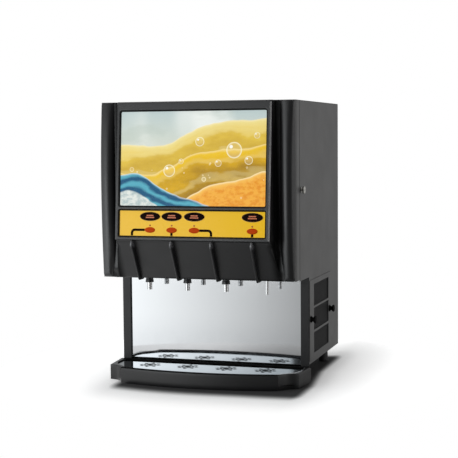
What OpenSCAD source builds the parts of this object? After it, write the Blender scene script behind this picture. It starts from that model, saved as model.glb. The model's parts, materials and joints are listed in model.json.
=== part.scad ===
// Countertop juice dispenser: three juice taps and one water tap, a hinged
// lit door, a lift-out drip tray and a refrigerated cabinet.
// Millimetres, +Z up, the front faces -Y, the feet stand on Z = 0.

/* [Cabinet] */
// Width of the cabinet over its side panels
body_w = 530; // [500:1:560]
// Depth of the cabinet from its front edge to the rear panel
body_d = 453; // [420:1:470]
// Total height above the counter
body_h = 744; // [730:1:760]
// Height of the feet
foot_h = 46; // [40:1:50]
// Height of the underside of the overhanging upper cabinet
deck_z = 280; // [270:1:290]
// How far the lower cabinet is set back behind the upper one
setback = 95; // [90:1:105]
// Thickness of the sheet metal
sheet = 2; // [1.5:0.5:2.5]
// Width of each black post beside the backsplash
post_w = 23; // [18:1:28]

/* [Door] */
// Half width of the display frame
frame_half = 211; // [205:1:214]
// Radius of the two rounded pillars
pillar_r = 20; // [16:1:20]
// Backward lean of the display frame in degrees
lean = 4.6; // [3:0.1:6]
// Half width of the display and of the control fascia
window_half = 196.5; // [190:0.5:198]
// Thickness of the moulded cover
cover_t = 4; // [3:0.5:5]
// Distance of the door's hinge axis behind the pan's front edge
hinge_y = -20; // [-24:1:-18]

/* [Controls] */
// Half length of each push button
button_a = 14; // [12:0.5:15]
// Half height of each push button
button_b = 7; // [6:0.5:8]
// Clearance around each push button
button_gap = 0.4; // [0.3:0.1:0.6]

/* [Taps] */
// Spacing of the taps
tap_pitch = 108; // [100:1:110]
// Distance of the taps behind the cabinet's front edge
tap_y = 35; // [33:1:46]
// Outer radius of a juice tube
tube_r = 6.5; // [5.5:0.5:7]
// Outer radius of the water tube
water_r = 4.2; // [3.5:0.1:5]

/* [Drip tray] */
// Half width of the drip tray
tray_half = 271; // [266:1:274]
// Height of the tray's rim above the counter
tray_top = 41; // [36:1:43]
// How far the tray's bowed front stands out at the middle
tray_front = 75; // [65:1:80]
// Radius of a drain rosette
rosette_r = 31; // [26:1:34]

/* [Hidden] */
$fn = 48;
y_mid = 189;                 // the frame's origin lies this far behind the cabinet front
hw = body_w / 2;
hi = hw - sheet;             // inside of the side panels
tap_x = [-1.5 * tap_pitch, -0.5 * tap_pitch, 0.5 * tap_pitch];
water_x = 1.5 * tap_pitch + 5;
button_x = [-112.5, -53, 8, 163];
fascia_o = [0, -92.5, 399];  // lower edge of the fascia on the frame's face
button_z = 14.8;
oval_z = 49.7;
led_z = 26.7;
hinge_x = -hw + 10;
lock_y = 12;
lock_z = 514.5;
screw_y = [109.5, 332];
screw_z = 166;
fan_c = [0, 237.5, 161];
win_z = [[70, 125.5], [132, 191.5], [197, 256]];

// Puts a piece that is drawn from the cabinet's front edge into the common frame
module place() translate([0, -y_mid, 0]) children();
// Box between two corners
module box(a, b) translate(a) cube(b - a);
// Cylinder along +X, along +Y
module rod_x(r, l) rotate([0, 90, 0]) cylinder(r = r, h = l);
module rod_y(r, l) rotate([-90, 0, 0]) cylinder(r = r, h = l);
// Profile in the YZ plane carried from x0 to x1
module slab_x(x0, x1, pts) translate([x0, 0, 0]) rotate([90, 0, 90]) linear_extrude(x1 - x0) polygon(pts);
// Leaning frame of the door's face: x across, y into the door, z up the face
module on_face() place() translate(fascia_o) rotate([-lean, 0, 0]) children();
// Flat shape in x and z, between two depths behind the face
module plate_y(y0, y1) translate([0, y1, 0]) rotate([90, 0, 0]) linear_extrude(y1 - y0) children();
function ellipse(a, b, n = 40) = [for (i = [0 : n - 1]) [a * cos(360 * i / n), b * sin(360 * i / n)]];
module slot2(l, r) { square([l, 2 * r], center = true); for (s = [-1, 1]) translate([s * l / 2, 0]) circle(r = r); }

// ---------------------------------------------------------------- cabinet
module base_pan() color("dimgray") place() difference() {
  union() {
    box([-hi, 107, foot_h], [hi, body_d - 2, foot_h + 2]);
    box([-hi, 107, foot_h + 2], [hi, 109, foot_h + 20]);
    box([-hi, body_d - 4, foot_h + 2], [hi, body_d - 2, foot_h + 20]);
  }
  for (x = [-230, 230], y = [140, 410]) translate([x, y, foot_h - 1]) cylinder(r = 4.3, h = 4);
}

module feet() color("black") place() for (x = [-230, 230], y = [140, 410]) translate([x, y, 0])
  rotate_extrude() polygon([[0, 0], [13, 0], [14, 3], [12.5, foot_h - 8], [15, foot_h - 5],
    [15, foot_h], [4, foot_h], [4, foot_h + 10], [0, foot_h + 10]]);

module side_outline() polygon([[0, deck_z], [0, body_h - 2], [body_d - 2, body_h - 2],
  [body_d - 2, foot_h], [setback + 2, foot_h], [setback + 2, deck_z]]);

module left_side_panel() color("dimgray") place()
  translate([-hw, 0, 0]) rotate([90, 0, 90]) linear_extrude(sheet) side_outline();

module right_side_panel() color("dimgray") place() difference() {
  union() {
    translate([hi, 0, 0]) rotate([90, 0, 90]) linear_extrude(sheet) side_outline();
    // welded nuts of the two thumbscrews
    translate([hi - 8, screw_y[0], screw_z]) rod_x(6, 9);
    translate([hi - 8, screw_y[1], screw_z]) rod_x(6, 9);
  }
  box([hi - 1, 140, 66], [hw + 1, 324, 260]);
  translate([hi - 1, lock_y, lock_z]) rod_x(4.05, 4);
  translate([hi - 9, screw_y[0], screw_z]) rod_x(2.55, 14);
  translate([hi - 9, screw_y[1], screw_z]) rod_x(2.55, 14);
}

module top_panel() color("dimgray") place() {
  box([-hw, 0, body_h - 2], [hw, body_d, body_h]);
  for (s = [-1, 1]) box([s > 0 ? hi - 2 : -hi, 70, body_h - 18], [s > 0 ? hi : -hi + 2, 430, body_h - 2]);
  box([-200, 4, body_h - 12], [hi - 4, 6, body_h - 2]);
}

rear_screw_pos = [for (x = [-250, 0, 250], z = [80, 400, 730]) if (x != 0 || z != 400) [x, z]];
module rear_panel() color("dimgray") place() difference() {
  box([-hw, body_d - 2, foot_h], [hw, body_d, body_h - 2]);
  for (c = [0 : 1], r = [0 : 8]) translate([-65 + 130 * c, body_d - 3, 160 + 12 * r])
    rotate([-90, 0, 0]) linear_extrude(4) slot2(100, 2.5);
  for (r = [0 : 5]) translate([0, body_d - 3, 600 + 12 * r]) rotate([-90, 0, 0]) linear_extrude(4) slot2(220, 2.5);
  translate([-170, body_d - 3, 110]) rod_y(10.3, 4);
  box([150 - 24.3, body_d - 3, 110 - 12.3], [150 + 24.3, body_d + 1, 110 + 12.3]);
  for (p = rear_screw_pos) translate([p[0], body_d - 3, p[1]]) rod_y(2.2, 4);
}

module rear_screws() color("silver") place() for (p = rear_screw_pos) translate([p[0], body_d - 8, p[1]]) {
  rod_y(2, 8.5);
  translate([0, 8, 0]) difference() { rod_y(4, 2.4); translate([-0.5, 1.4, -3]) cube([1, 2, 6]); translate([-3, 1.4, -0.5]) cube([6, 2, 1]); }
}

module front_frame() color("gainsboro") place() difference() {
  box([-hi, 6, deck_z + 2], [hi, 8, body_h - 20]);
  box([-235, 5, deck_z + 14], [235, 9, body_h - 31]);
  box([-hi - 1, 5, deck_z + 1], [-247, 9, deck_z + 6]);
  box([249.6, 5, lock_z - 9], [262.2, 9, lock_z + 18]);
}

module post() { box([hw - post_w, setback, 26], [hi, setback + 6, deck_z]); box([hi - 0.5, setback, 26], [hw, setback + 2, deck_z]); }
module left_post() color("black") place() mirror([1, 0, 0]) post();
module right_post() color("black") place() post();

module backsplash() color("silver") place() box([-hi + 0.5, setback + 6, 26], [hi - 0.5, setback + 8, deck_z]);

module deck_plate() color("silver") place() difference() {
  box([-hi, 2, deck_z], [hi, body_d - 2, deck_z + 2]);
  for (x = tap_x) translate([x, tap_y, deck_z - 1]) cylinder(r = 9.3, h = 4);
  translate([water_x, tap_y, deck_z - 1]) cylinder(r = 4.6, h = 4);
}

module cold_liner() color("white") place() difference() {
  box([-250, 10, deck_z + 2], [250, 330, body_h - 16]);
  box([-235, 9, deck_z + 14], [235, 315, body_h - 31]);
  for (x = tap_x) translate([x, tap_y, deck_z]) cylinder(r = 10, h = 20);
  translate([water_x, tap_y, deck_z]) cylinder(r = 5, h = 20);
}

shelf_z = 396;
module container_shelf() color("gainsboro") place() difference() {
  box([-234.7, 60, shelf_z], [234.7, 299, shelf_z + 3]);
  for (x = tap_x) translate([x, 120, shelf_z - 1]) cylinder(r = 13, h = 5);
}

module juice_containers() color("orange") place() for (x = tap_x) translate([x, 0, 0]) {
  difference() {
    box([-49, 66, shelf_z + 3], [49, 292, 660]);
    for (s = [-1, 1]) translate([s * 49, 0, 0]) box([-3, 60, 470], [3, 300, 474]);
  }
  translate([0, 120, shelf_z - 12]) cylinder(r = 11, h = 20);
  translate([0, 130, 655]) cylinder(r = 26, h = 20);
}
module container_caps() color("white") place() for (x = tap_x) translate([x, 130, 660.5]) difference() {
  cylinder(r = 31, h = 20);
  translate([0, 0, -1]) cylinder(r = 26.4, h = 16);
}
module water_chiller_tank() color("silver") place() translate([water_x + 8, 180, shelf_z + 3])
  rotate_extrude() polygon([[0, 0], [46, 0], [50, 4], [50, 236], [46, 240], [14, 240], [14, 262], [0, 262]]);
module evaporator() color("silver") place() {
  box([-205, 311, 420], [205, 315, 700]);
  for (i = [0 : 6]) translate([-190, 308, 440 + 40 * i]) rod_x(4, 380);
}

module pump_housings() color("whitesmoke") place() for (x = tap_x) translate([x, 0, 350]) difference() {
  box([-36, 40, -35], [36, 75, 35]);
  translate([0, 39, 0]) rod_y(30, 31);
  translate([0, 60, 0]) rod_y(3.6, 20);
}
module pump_hoses() color("lightblue") place() for (x = tap_x) translate([x, 61, 350]) rotate([90, 0, 0]) rotate_extrude(angle = 180)
  polygon([[27.4, 0], [29.8, 0], [29.8, 12], [27.4, 12]]);
module pump_motors() color("gray") place() for (x = tap_x) translate([x, 75, 350]) difference() {
  union() { rod_y(22, 70); translate([0, 70, 0]) rod_y(10, 6); }
  translate([0, -1, 0]) rod_y(3.05, 41);
}
module pump_rotor(x) place() translate([x, 0, 350]) {
  translate([0, 43, 0]) rod_y(11, 24);
  translate([0, 45, 0]) rod_y(3, 65);
  for (a = [0, 120, 240]) rotate([0, a + 30, 0]) {
    translate([19, 44, 0]) rod_y(7, 22);
    box([8, 43, -4], [20, 46, 4]);
    box([8, 64, -4], [20, 67, 4]);
  }
}
module pump_rotor_1() color("orangered") pump_rotor(tap_x[0]);
module pump_rotor_2() color("orangered") pump_rotor(tap_x[1]);
module pump_rotor_3() color("orangered") pump_rotor(tap_x[2]);

module mixing_nozzles() color("black") place() for (x = tap_x) translate([x, tap_y, 0]) rotate_extrude()
  polygon([[tube_r + 0.1, deck_z - 17], [11.2, deck_z - 17], [10.6, deck_z - 11], [9.6, deck_z - 7],
    [9.2, deck_z - 4], [12.5, deck_z - 3.4], [12.5, deck_z], [9.1, deck_z], [9.1, 310], [tube_r + 0.1, 310]]);
// Three tubes below the mixing nozzles and the slender tube for plain water
module dispense_tubes() color("silver") place() {
  for (x = tap_x) translate([x, tap_y, 0]) rotate_extrude()
    polygon([[tube_r - 1.5, deck_z - 37], [tube_r, deck_z - 37], [tube_r, 308], [tube_r - 1.5, 308]]);
  translate([water_x, tap_y, 0]) rotate_extrude()
    polygon([[water_r - 1, deck_z - 42], [water_r, deck_z - 42], [water_r, 329.5], [water_r - 1, 329.5]]);
}
module water_valve() color("white") place() translate([water_x, tap_y, 0]) {
  box([-14, -14, 330], [14, 20, 362]);
  translate([0, 0, 362]) cylinder(r = 11, h = 22);
  translate([0, 20, 346]) rod_y(6, 14);
}

// ---------------------------------------------------------------- cooling
module compressor() color("black") place() translate([-120, 310, foot_h + 2]) {
  for (x = [-70, 70], y = [-45, 45]) translate([x, y, 0]) cylinder(r = 9, h = 8);
  box([-85, -58, 8], [85, 58, 11]);
  translate([0, 0, 11]) rotate_extrude() polygon([[0, 0], [66, 0], [74, 10], [74, 105], [66, 135], [48, 152], [24, 160], [0, 160]]);
}
module condenser() color("silver") place() {
  for (i = [0 : 20]) box([216, 152 + 8.3 * i, 64], [250, 153.6 + 8.3 * i, 258]);
  for (x = [225, 241], k = [0 : 5]) translate([x, 146, 80 + 32 * k]) rod_y(4, 184);
}
module fan_shroud() color("black") place() difference() {
  union() {
    box([203, 150, foot_h + 2], [208, 325, 262]);
    for (s = [-1, 1]) translate([186, fan_c[1], fan_c[2] + s * 44]) box([-8, -5, -44], [22, 5, 44]);
  }
  translate([170, fan_c[1], fan_c[2]]) rod_x(80, 60);
  box([170, fan_c[1] - 20, fan_c[2] - 82], [202.9, fan_c[1] + 20, fan_c[2] + 82]);
}
module fan_motor() color("gray") place() {
  translate([118, fan_c[1], fan_c[2]]) difference() { rod_x(30, 52); translate([30, 0, 0]) rod_x(3.05, 30); }
  translate([124, fan_c[1], 0]) box([-6, -9, foot_h + 2], [34, 9, fan_c[2] - 27]);
  box([110, fan_c[1] - 24, foot_h + 2], [166, fan_c[1] + 24, foot_h + 5]);
}
module fan_blade() color("white") place() translate([0, fan_c[1], fan_c[2]]) {
  translate([178, 0, 0]) rod_x(20, 18);
  translate([150, 0, 0]) rod_x(3, 30);
  for (a = [0 : 72 : 288]) rotate([a, 0, 0]) translate([187, 0, 46]) rotate([0, 0, 24]) cube([1.6, 34, 56], center = true);
}
module power_supply() color("silver") place() box([-245, 160, foot_h + 2], [-165, 248, 120]);
module water_inlet() color("gold") place() translate([-170, 0, 110]) {
  translate([0, body_d, 0]) rotate([-90, 0, 0]) cylinder(r = 14, h = 6, $fn = 6);
  translate([0, body_d - 24, 0]) rod_y(10, 25);
  translate([0, body_d + 5, 0]) rod_y(8.3, 17);
}
module power_inlet() color("black") place() difference() {
  union() {
    box([150 - 24, body_d - 26, 110 - 12], [150 + 24, body_d + 1, 110 + 12]);
    box([150 - 30, body_d, 110 - 16], [150 + 30, body_d + 3, 110 + 16]);
  }
  box([150 - 14, body_d - 16, 110 - 9], [150 + 14, body_d + 4, 110 + 9]);
}

// ---------------------------------------------------------------- side vent
module vent_cover() color("dimgray") place() difference() {
  box([hw, 99, 54], [hw + 1.5, 345, 270]);
  for (w = win_z) box([hw - 1, 145, w[0]], [hw + 3, 320, w[1]]);
  for (y = screw_y) translate([hw - 1, y, screw_z]) rod_x(2.9, 4);
}
module air_filter() color("black") place() box([hi - 3, 141, 67], [hw - 0.4, 323, 259]);
module thumbscrew(y) place() translate([hw + 1.8, y, screw_z]) rotate([0, 90, 0]) rotate_extrude()
  polygon([[0, -12], [2.5, -12], [2.5, 0], [9, 0], [9, 1.6], [6, 3.6], [5.6, 6.4], [9.4, 9.6], [10, 11], [10, 12.8], [9, 13.6], [0, 13.6]]);
module thumbscrew_front() color("black") thumbscrew(screw_y[0]);
module thumbscrew_rear() color("black") thumbscrew(screw_y[1]);
// ---------------------------------------------------------------- tray rails
module tray_rails() color("gray") place() for (x = [-150, 150]) slab_x(x - 20, x + 20,
  [[-10, 8.4], [112, 8.4], [112, foot_h - 3], [150, foot_h - 3], [150, foot_h], [109, foot_h], [109, 11.4], [-10, 11.4]]);

// ---------------------------------------------------------------- hinge and lock
module bracket() {
  translate([hinge_x, hinge_y, 0]) cylinder(r = 9, h = 3);
  box([-hi + 0.5, hinge_y, 0], [-252, 60, 3]);
}
module upper_hinge_bracket() color("silver") place() {
  translate([0, 0, body_h - 5.2]) bracket();
  translate([hinge_x, hinge_y, body_h - 24]) cylinder(r = 4, h = 19);
}
module lower_hinge_bracket() color("silver") place() {
  translate([0, 0, deck_z + 2]) bracket();
  translate([hinge_x, hinge_y, deck_z + 4]) cylinder(r = 4, h = 19);
}
module lock_barrel() color("silver") place() translate([0, lock_y, lock_z]) {
  translate([253, 0, 0]) rod_x(4, 18);
  translate([hw + 0.4, 0, 0]) rod_x(6.5, 1.4);
  difference() {
    translate([hw + 5, 0, 0]) rod_x(9.2, 5);
    box([hw + 8.5, -5, -0.8], [hw + 11, 5, 0.8]);
  }
  // cam: points at the door when free, and up in front of the strike's lip when locked
  box([253.4, -12.5, -4], [257.4, 4, 4]);
}
// Hook on the back of the door that the lock's cam holds
module lock_strike() color("silver") place() translate([0, lock_y, lock_z]) {
  box([250.2, pan_y1 - lock_y, 6], [260.6, pan_y1 - lock_y + 2, 34]);
  box([250.4, pan_y1 - lock_y, 6], [252.4, 9, 13]);
  box([250.4, 6, 6], [257, 9, 13]);
}

// ---------------------------------------------------------------- door
pan_y0 = -40; pan_y1 = -3;
pan_bend = -31;              // the pan's sides draw in by 3 mm in front of this
bush_w = 24;
module pan_prism(z0, z1, h, y0, y1) translate([0, 0, z0]) linear_extrude(z1 - z0)
  polygon([for (s = [-1, 1], p = s < 0 ? [[h, y1], [h, pan_bend], [h - 3, y0]] : [[h - 3, y0], [h, pan_bend], [h, y1]]) [s * p[0], p[1]]]);
module door_pan() color("gray") place() difference() {
  union() {
    difference() {
      pan_prism(deck_z + 22, body_h, hw, pan_y0, pan_y1);
      pan_prism(deck_z + 24, body_h - 2, hi, pan_y0 - 1, pan_y1 - 2);
    }
    difference() {
      pan_prism(deck_z + 3, deck_z + 23, hw, pan_y0, pan_y1);
      pan_prism(deck_z + 2, deck_z + 24, hi, pan_y0 - 1, pan_y1 + 1);
    }
    box([-hw, pan_bend, body_h - 30], [-hw + bush_w, pan_y1, body_h - 2]);
    box([-hw, pan_bend, deck_z + 3], [-hw + bush_w, pan_y1, deck_z + 34]);
  }
  box([-hw - 1, pan_y0 + 2, body_h - 8], [-hw + bush_w, 0, body_h + 1]);
  box([-hw - 1, pan_y0 + 2, deck_z], [-hw + bush_w, 0, deck_z + 7.6]);
  translate([hinge_x, hinge_y, body_h - 26]) cylinder(r = 4.05, h = 30);
  translate([hinge_x, hinge_y, deck_z]) cylinder(r = 4.05, h = 25);
  translate([-hw, pan_y1, 0]) rotate([0, 0, 45]) box([-3, -3, deck_z], [3, 3, body_h + 1]);
}

// Front of the leaning face at a height z above the counter
function face_y(z) = fascia_o[1] + (z - fascia_o[2]) * tan(lean);
frame_lo = 386;
apron = [[-84, 381], [-33, deck_z + 5], [-28, deck_z + 1], [-8, deck_z + 1]];
module frame_solid(h, d) slab_x(-h, h, [[pan_y0 + 2 * d, body_h - d], [face_y(body_h - d) + d, body_h - d], [face_y(frame_lo + d) + d, frame_lo + d], [-40, frame_lo + d]]);
// Bowed half column of one pillar, drawn in by d all round
module pillar_body(d) intersection() {
  box([225 + d, -62, deck_z + 5 + d], [hw - d, -40 + (d > 0 ? 1 : 0), body_h - d]);
  translate([245, -40, 0]) cylinder(r = pillar_r - d, h = 800);
  translate([0, -60 + d + 2040, 520]) rotate([0, 90, 0]) cylinder(r = 2040, h = 300, $fn = 360);
}
module pillar() difference() { pillar_body(0); pillar_body(3); }
module apron_solid(h, d) slab_x(-h, h, [[-40, frame_lo + 2], [-84 + 1.4 * d, frame_lo + 2], [-84 + 1.4 * d, 381], [-33 + 1.1 * d, deck_z + 5], [-28 + 1.1 * d, deck_z + 1 + d], [-8 - d, deck_z + 1 + d],
  [-8 - d, deck_z + 1 + d + (d > 0 ? 0 : 3)], [-24, deck_z + 1 + d + (d > 0 ? 0.01 : 3)], [-40, 300]]);
module rib(x) slab_x(x - 2.8, x + 2.8, [[face_y(frame_lo) + 0.2, frame_lo + 2], [-43, deck_z - 1], [-38, deck_z - 3.5], [-12, deck_z - 3.5], [-8, deck_z - 0.5],
  [-8, deck_z + 2], [-28, deck_z + 3.5], [-41, 302], [-80, 378], [-80, frame_lo + 2]]);
module window(z0, z1) translate([-window_half, -10, z0]) cube([2 * window_half, 30, z1 - z0]);
module door_cover() color([0.11, 0.11, 0.12]) union() {
  difference() {
    place() union() {
      difference() { frame_solid(frame_half, 0); frame_solid(frame_half - cover_t, cover_t); }
      difference() {
        union() { apron_solid(frame_half, 0); intersection() { apron_solid(hi - 0.6, 0); union() { box([-400, -50, 0], [400, pan_y0 - 0.2, 330]); box([-238, -41, 0], [238, 0, 299]); } } }
        intersection() {
          slab_x(-frame_half + cover_t, frame_half - cover_t, [[-30, 400], [-79, 400], [-79, 382], [-28, 289], [-28, deck_z + 4.2], [-20, deck_z + 4.2], [-20, 400]]);
          box([-400, -100, 0], [400, 0, 600]);
        }
      }
      for (m = [0, 1]) mirror([m, 0, 0]) {
        pillar();
        box([frame_half - 4, -43, 300], [226, -40, body_h]);
      }
      for (x = [tap_x[0], tap_x[1], tap_x[2], 1.5 * tap_pitch]) rib(x);
    }
    on_face() { window(-1, 64.5); window(77, 321); }
  }
}
module door_gasket() color("black") place() difference() {
  box([-249, -3, deck_z + 26], [249, -0.6, body_h - 14]);
  box([-239, -4, deck_z + 36], [239, 1, body_h - 24]);
}
module light_box() color("white") on_face() difference() {
  translate([-200, 8, 76]) cube([400, 18, 246]);
  translate([-198, 7, 78]) cube([396, 17, 242]);
}
module led_strips() color("lightyellow") on_face() for (i = [0 : 3]) translate([-185, 21.5, 100 + 60 * i]) cube([370, 2.5, 12]);
module display_panel() color("lightyellow") on_face() translate([-200, cover_t + 0.1, 74.6]) cube([400, 3, 247.4]);
module control_fascia() color("gold") on_face() difference() {
  translate([-200, cover_t + 0.1, -6]) cube([400, 3, 76]);
  for (x = button_x) {
    translate([x, 0, button_z]) plate_y(0, 10) polygon(ellipse(button_a + button_gap, button_b + button_gap));
    translate([x, 0, led_z]) rod_y(2.4, 12);
  }
}
module flow_run(x0, x1, z0, z1, r) {
  d = x1 > x0 ? 1 : -1;
  translate([min(x0, x1 - d * r), z0 - 2.3]) square([abs(x1 - d * r - x0), 4.6]);
  translate([x1 - d * r, z0 - r]) intersection() {
    difference() { circle(r = r + 2.3); circle(r = r - 2.3); }
    translate([d > 0 ? 0 : -20, 0]) square([20, 20]);
  }
  translate([x1 - 2.3, z1]) square([4.6, z0 - r - z1]);
}
module flavour_labels() color([0.08, 0.03, 0.04]) on_face() {
  for (x = button_x) translate([x, 0, oval_z]) plate_y(cover_t - 0.5, cover_t + 0.1) polygon(ellipse(27.5, 11.3));
  plate_y(cover_t - 0.4, cover_t + 0.1) {
    flow_run(button_x[0] - 15, -162, button_z, 0.5, 7);
    flow_run(button_x[2] + 15, 54, button_z, 0.5, 7);
    for (i = [1, 3]) translate([button_x[i] - 2.3, 0.5]) square([4.6, 6]);
  }
}
module indicator_leds() color("brown") on_face() for (x = button_x) translate([x, cover_t - 0.8, led_z]) rod_y(2.2, 12);
module control_board() color("green") on_face() {
  translate([-190, 16.2, -2]) cube([380, 1.6, 64]);
  for (x = button_x) translate([x - 4, 12, button_z - 4]) cube([8, 4.4, 8]);
}
module push_button(x) on_face() translate([x, 0, button_z]) {
  plate_y(cover_t - 2.4, 7.4) polygon(ellipse(button_a, button_b));
  plate_y(7.4, 9.6) polygon(ellipse(button_a + 3, button_b + 2.4));
}
module push_button_1() color([0.75, 0.29, 0.08]) push_button(button_x[0]);
module push_button_2() color([0.75, 0.29, 0.08]) push_button(button_x[1]);
module push_button_3() color([0.75, 0.29, 0.08]) push_button(button_x[2]);
module push_button_4() color([0.75, 0.29, 0.08]) push_button(button_x[3]);

// ---------------------------------------------------------------- drip tray
// Bow through the middle point (0, -f) and the end point (e, -g)
function bow(f, e, g, n) = let (s = f - g, r = (e * e + s * s) / (2 * s), a = asin(e / r))
  [for (i = [0 : n]) let (t = a - 2 * a * i / n) [r * sin(t), -f + r - r * cos(t)]];
function flip(p) = [for (i = [len(p) - 1 : -1 : 0]) [-p[i][0], p[i][1]]];
// side that draws in towards the front, sharp corner and a cove that leads to the bowed front
tray_cove = [for (i = [0 : 13]) let (s = i / 14, q = 1 - s) q * q * [258, -8] + 2 * s * q * [232, -9] + s * s * [216, -46]];
tray_side = concat([[tray_half, setback - 1.5], [tray_half - 8.7, -8]], tray_cove);
function tray_plan() = concat(tray_side, bow(tray_front, 216, 46, 24), flip(tray_side));
// the grille lies on a ledge below the rim
ledge_z = tray_top - 5;
well_side = [[256, 79], [256, 32], [247, 9], [209, -29]];
function well_plan() = concat(well_side, bow(tray_front - 20, 205, 31, 20), flip(well_side));
module drip_tray() color([0.1, 0.1, 0.1]) place() difference() {
  translate([0, 0, 1]) linear_extrude(tray_top - 1) polygon(tray_plan());
  translate([0, 0, ledge_z]) linear_extrude(20) polygon(well_plan());
  translate([0, 0, 15]) linear_extrude(30) intersection() { polygon(well_plan()); translate([-248, -42]) square([496, 114]); }
  // hollow underside that takes the two rails
  translate([0, 0, -1]) linear_extrude(13) polygon([[tray_half - 5, 120], [tray_half - 13, -3], [13 - tray_half, -3], [5 - tray_half, 120]]);
  translate([0, 0, 0]) linear_extrude(12) polygon(concat([[205, 0]], bow(tray_front - 4, 205, 45, 16), [[-205, 0]]));
}
// ring of n slots that follow a circle: r radius, w width, a angle of each slot, k facets along it
function arc_slot(r, w, a, k) = concat([for (i = [0 : k]) let (t = a * (i / k - 0.5)) (r + w / 2) * [cos(t), sin(t)]], [for (i = [k : -1 : 0]) let (t = a * (i / k - 0.5)) (r - w / 2) * [cos(t), sin(t)]]);
module slot_ring(r, w, a, n, a0, k) for (i = [0 : n - 1]) rotate(a0 + 360 * i / n) polygon(arc_slot(r, w, a, k));
module rosette() {
  circle(r = 8);
  slot_ring(15, 4.8, 46, 6, 0, 4);
  for (i = [0 : 7]) rotate(45 * i) polygon([[19.4, 0], [23.4, -6.2], [rosette_r, -0.6], [rosette_r, 0.6], [23.4, 6.2]]);
}
module drip_grille() color("silver") place() translate([0, 0, ledge_z]) linear_extrude(1.6) difference() {
  intersection() { polygon([for (p = well_plan()) [p[0] * 0.9965, p[1] < 0 ? p[1] + 0.8 : p[1] - 0.8 * p[1] / 79]]); square([600, 400], center = true); }
  for (x = [tap_x[0], tap_x[1], tap_x[2], 1.5 * tap_pitch]) translate([x, 30]) rosette();
}

base_pan();
feet();
left_side_panel();
right_side_panel();
top_panel();
rear_panel();
front_frame();
left_post();
right_post();
backsplash();
deck_plate();
cold_liner();
container_shelf();
juice_containers();
container_caps();
water_chiller_tank();
evaporator();
pump_housings();
pump_hoses();
pump_motors();
pump_rotor_1();
pump_rotor_2();
pump_rotor_3();
mixing_nozzles();
dispense_tubes();
water_valve();
compressor();
condenser();
fan_shroud();
fan_motor();
fan_blade();
power_supply();
water_inlet();
power_inlet();
rear_screws();
vent_cover();
air_filter();
thumbscrew_front();
thumbscrew_rear();
tray_rails();
upper_hinge_bracket();
lower_hinge_bracket();
lock_barrel();
lock_strike();
door_pan();
door_cover();
door_gasket();
light_box();
led_strips();
display_panel();
control_fascia();
flavour_labels();
indicator_leds();
control_board();
push_button_1();
push_button_2();
push_button_3();
push_button_4();
drip_tray();
drip_grille();
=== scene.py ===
import json
import math

import bmesh
import bpy
from mathutils import Matrix, Vector


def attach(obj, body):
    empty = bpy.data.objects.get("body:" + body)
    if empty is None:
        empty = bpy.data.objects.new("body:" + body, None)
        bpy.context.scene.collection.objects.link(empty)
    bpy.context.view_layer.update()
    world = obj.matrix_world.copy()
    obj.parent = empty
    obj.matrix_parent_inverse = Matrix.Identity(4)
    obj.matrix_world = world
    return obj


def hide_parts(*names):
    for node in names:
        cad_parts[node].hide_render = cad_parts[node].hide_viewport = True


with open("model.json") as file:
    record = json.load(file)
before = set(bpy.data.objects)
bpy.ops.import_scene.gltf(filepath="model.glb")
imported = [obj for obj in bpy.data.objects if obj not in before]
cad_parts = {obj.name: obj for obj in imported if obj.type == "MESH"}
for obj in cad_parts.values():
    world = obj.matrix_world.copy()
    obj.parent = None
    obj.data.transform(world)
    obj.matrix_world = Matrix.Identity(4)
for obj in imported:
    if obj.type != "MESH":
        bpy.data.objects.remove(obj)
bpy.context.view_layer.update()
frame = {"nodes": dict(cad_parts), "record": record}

NODES = frame["nodes"]

# Pieces are drawn in millimetres from the cabinet's front edge, as the construction is, and put
# into the common frame here.
MM = 0.001
Y_MID = 189.0
LEAN = math.radians(4.6)
CL, SL, TL = math.cos(LEAN), math.sin(LEAN), math.tan(LEAN)


def pt(x, y, z):
    return Vector((x * MM, (y - Y_MID) * MM, z * MM))


def face_y(z):
    """Front of the leaning face at a height above the counter."""
    return -92.5 + (z - 399.0) * TL


def face_pt(x, d, u):
    """Point on the leaning face: x across, d into the door, u up the face."""
    return pt(x, -92.5 + d * CL + u * SL, 399.0 - d * SL + u * CL)


def lerp(a, b, t):
    return a + (b - a) * t


def clamp(v, lo=0.0, hi=1.0):
    return max(lo, min(hi, v))


def srgb(r, g, b):
    """0 to 255 display values to linear colour."""
    out = []
    for c in (r, g, b):
        c = c / 255.0
        out.append(c / 12.92 if c <= 0.04045 else ((c + 0.055) / 1.055) ** 2.4)
    return (out[0], out[1], out[2], 1.0)


# ---------------------------------------------------------------- materials


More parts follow.
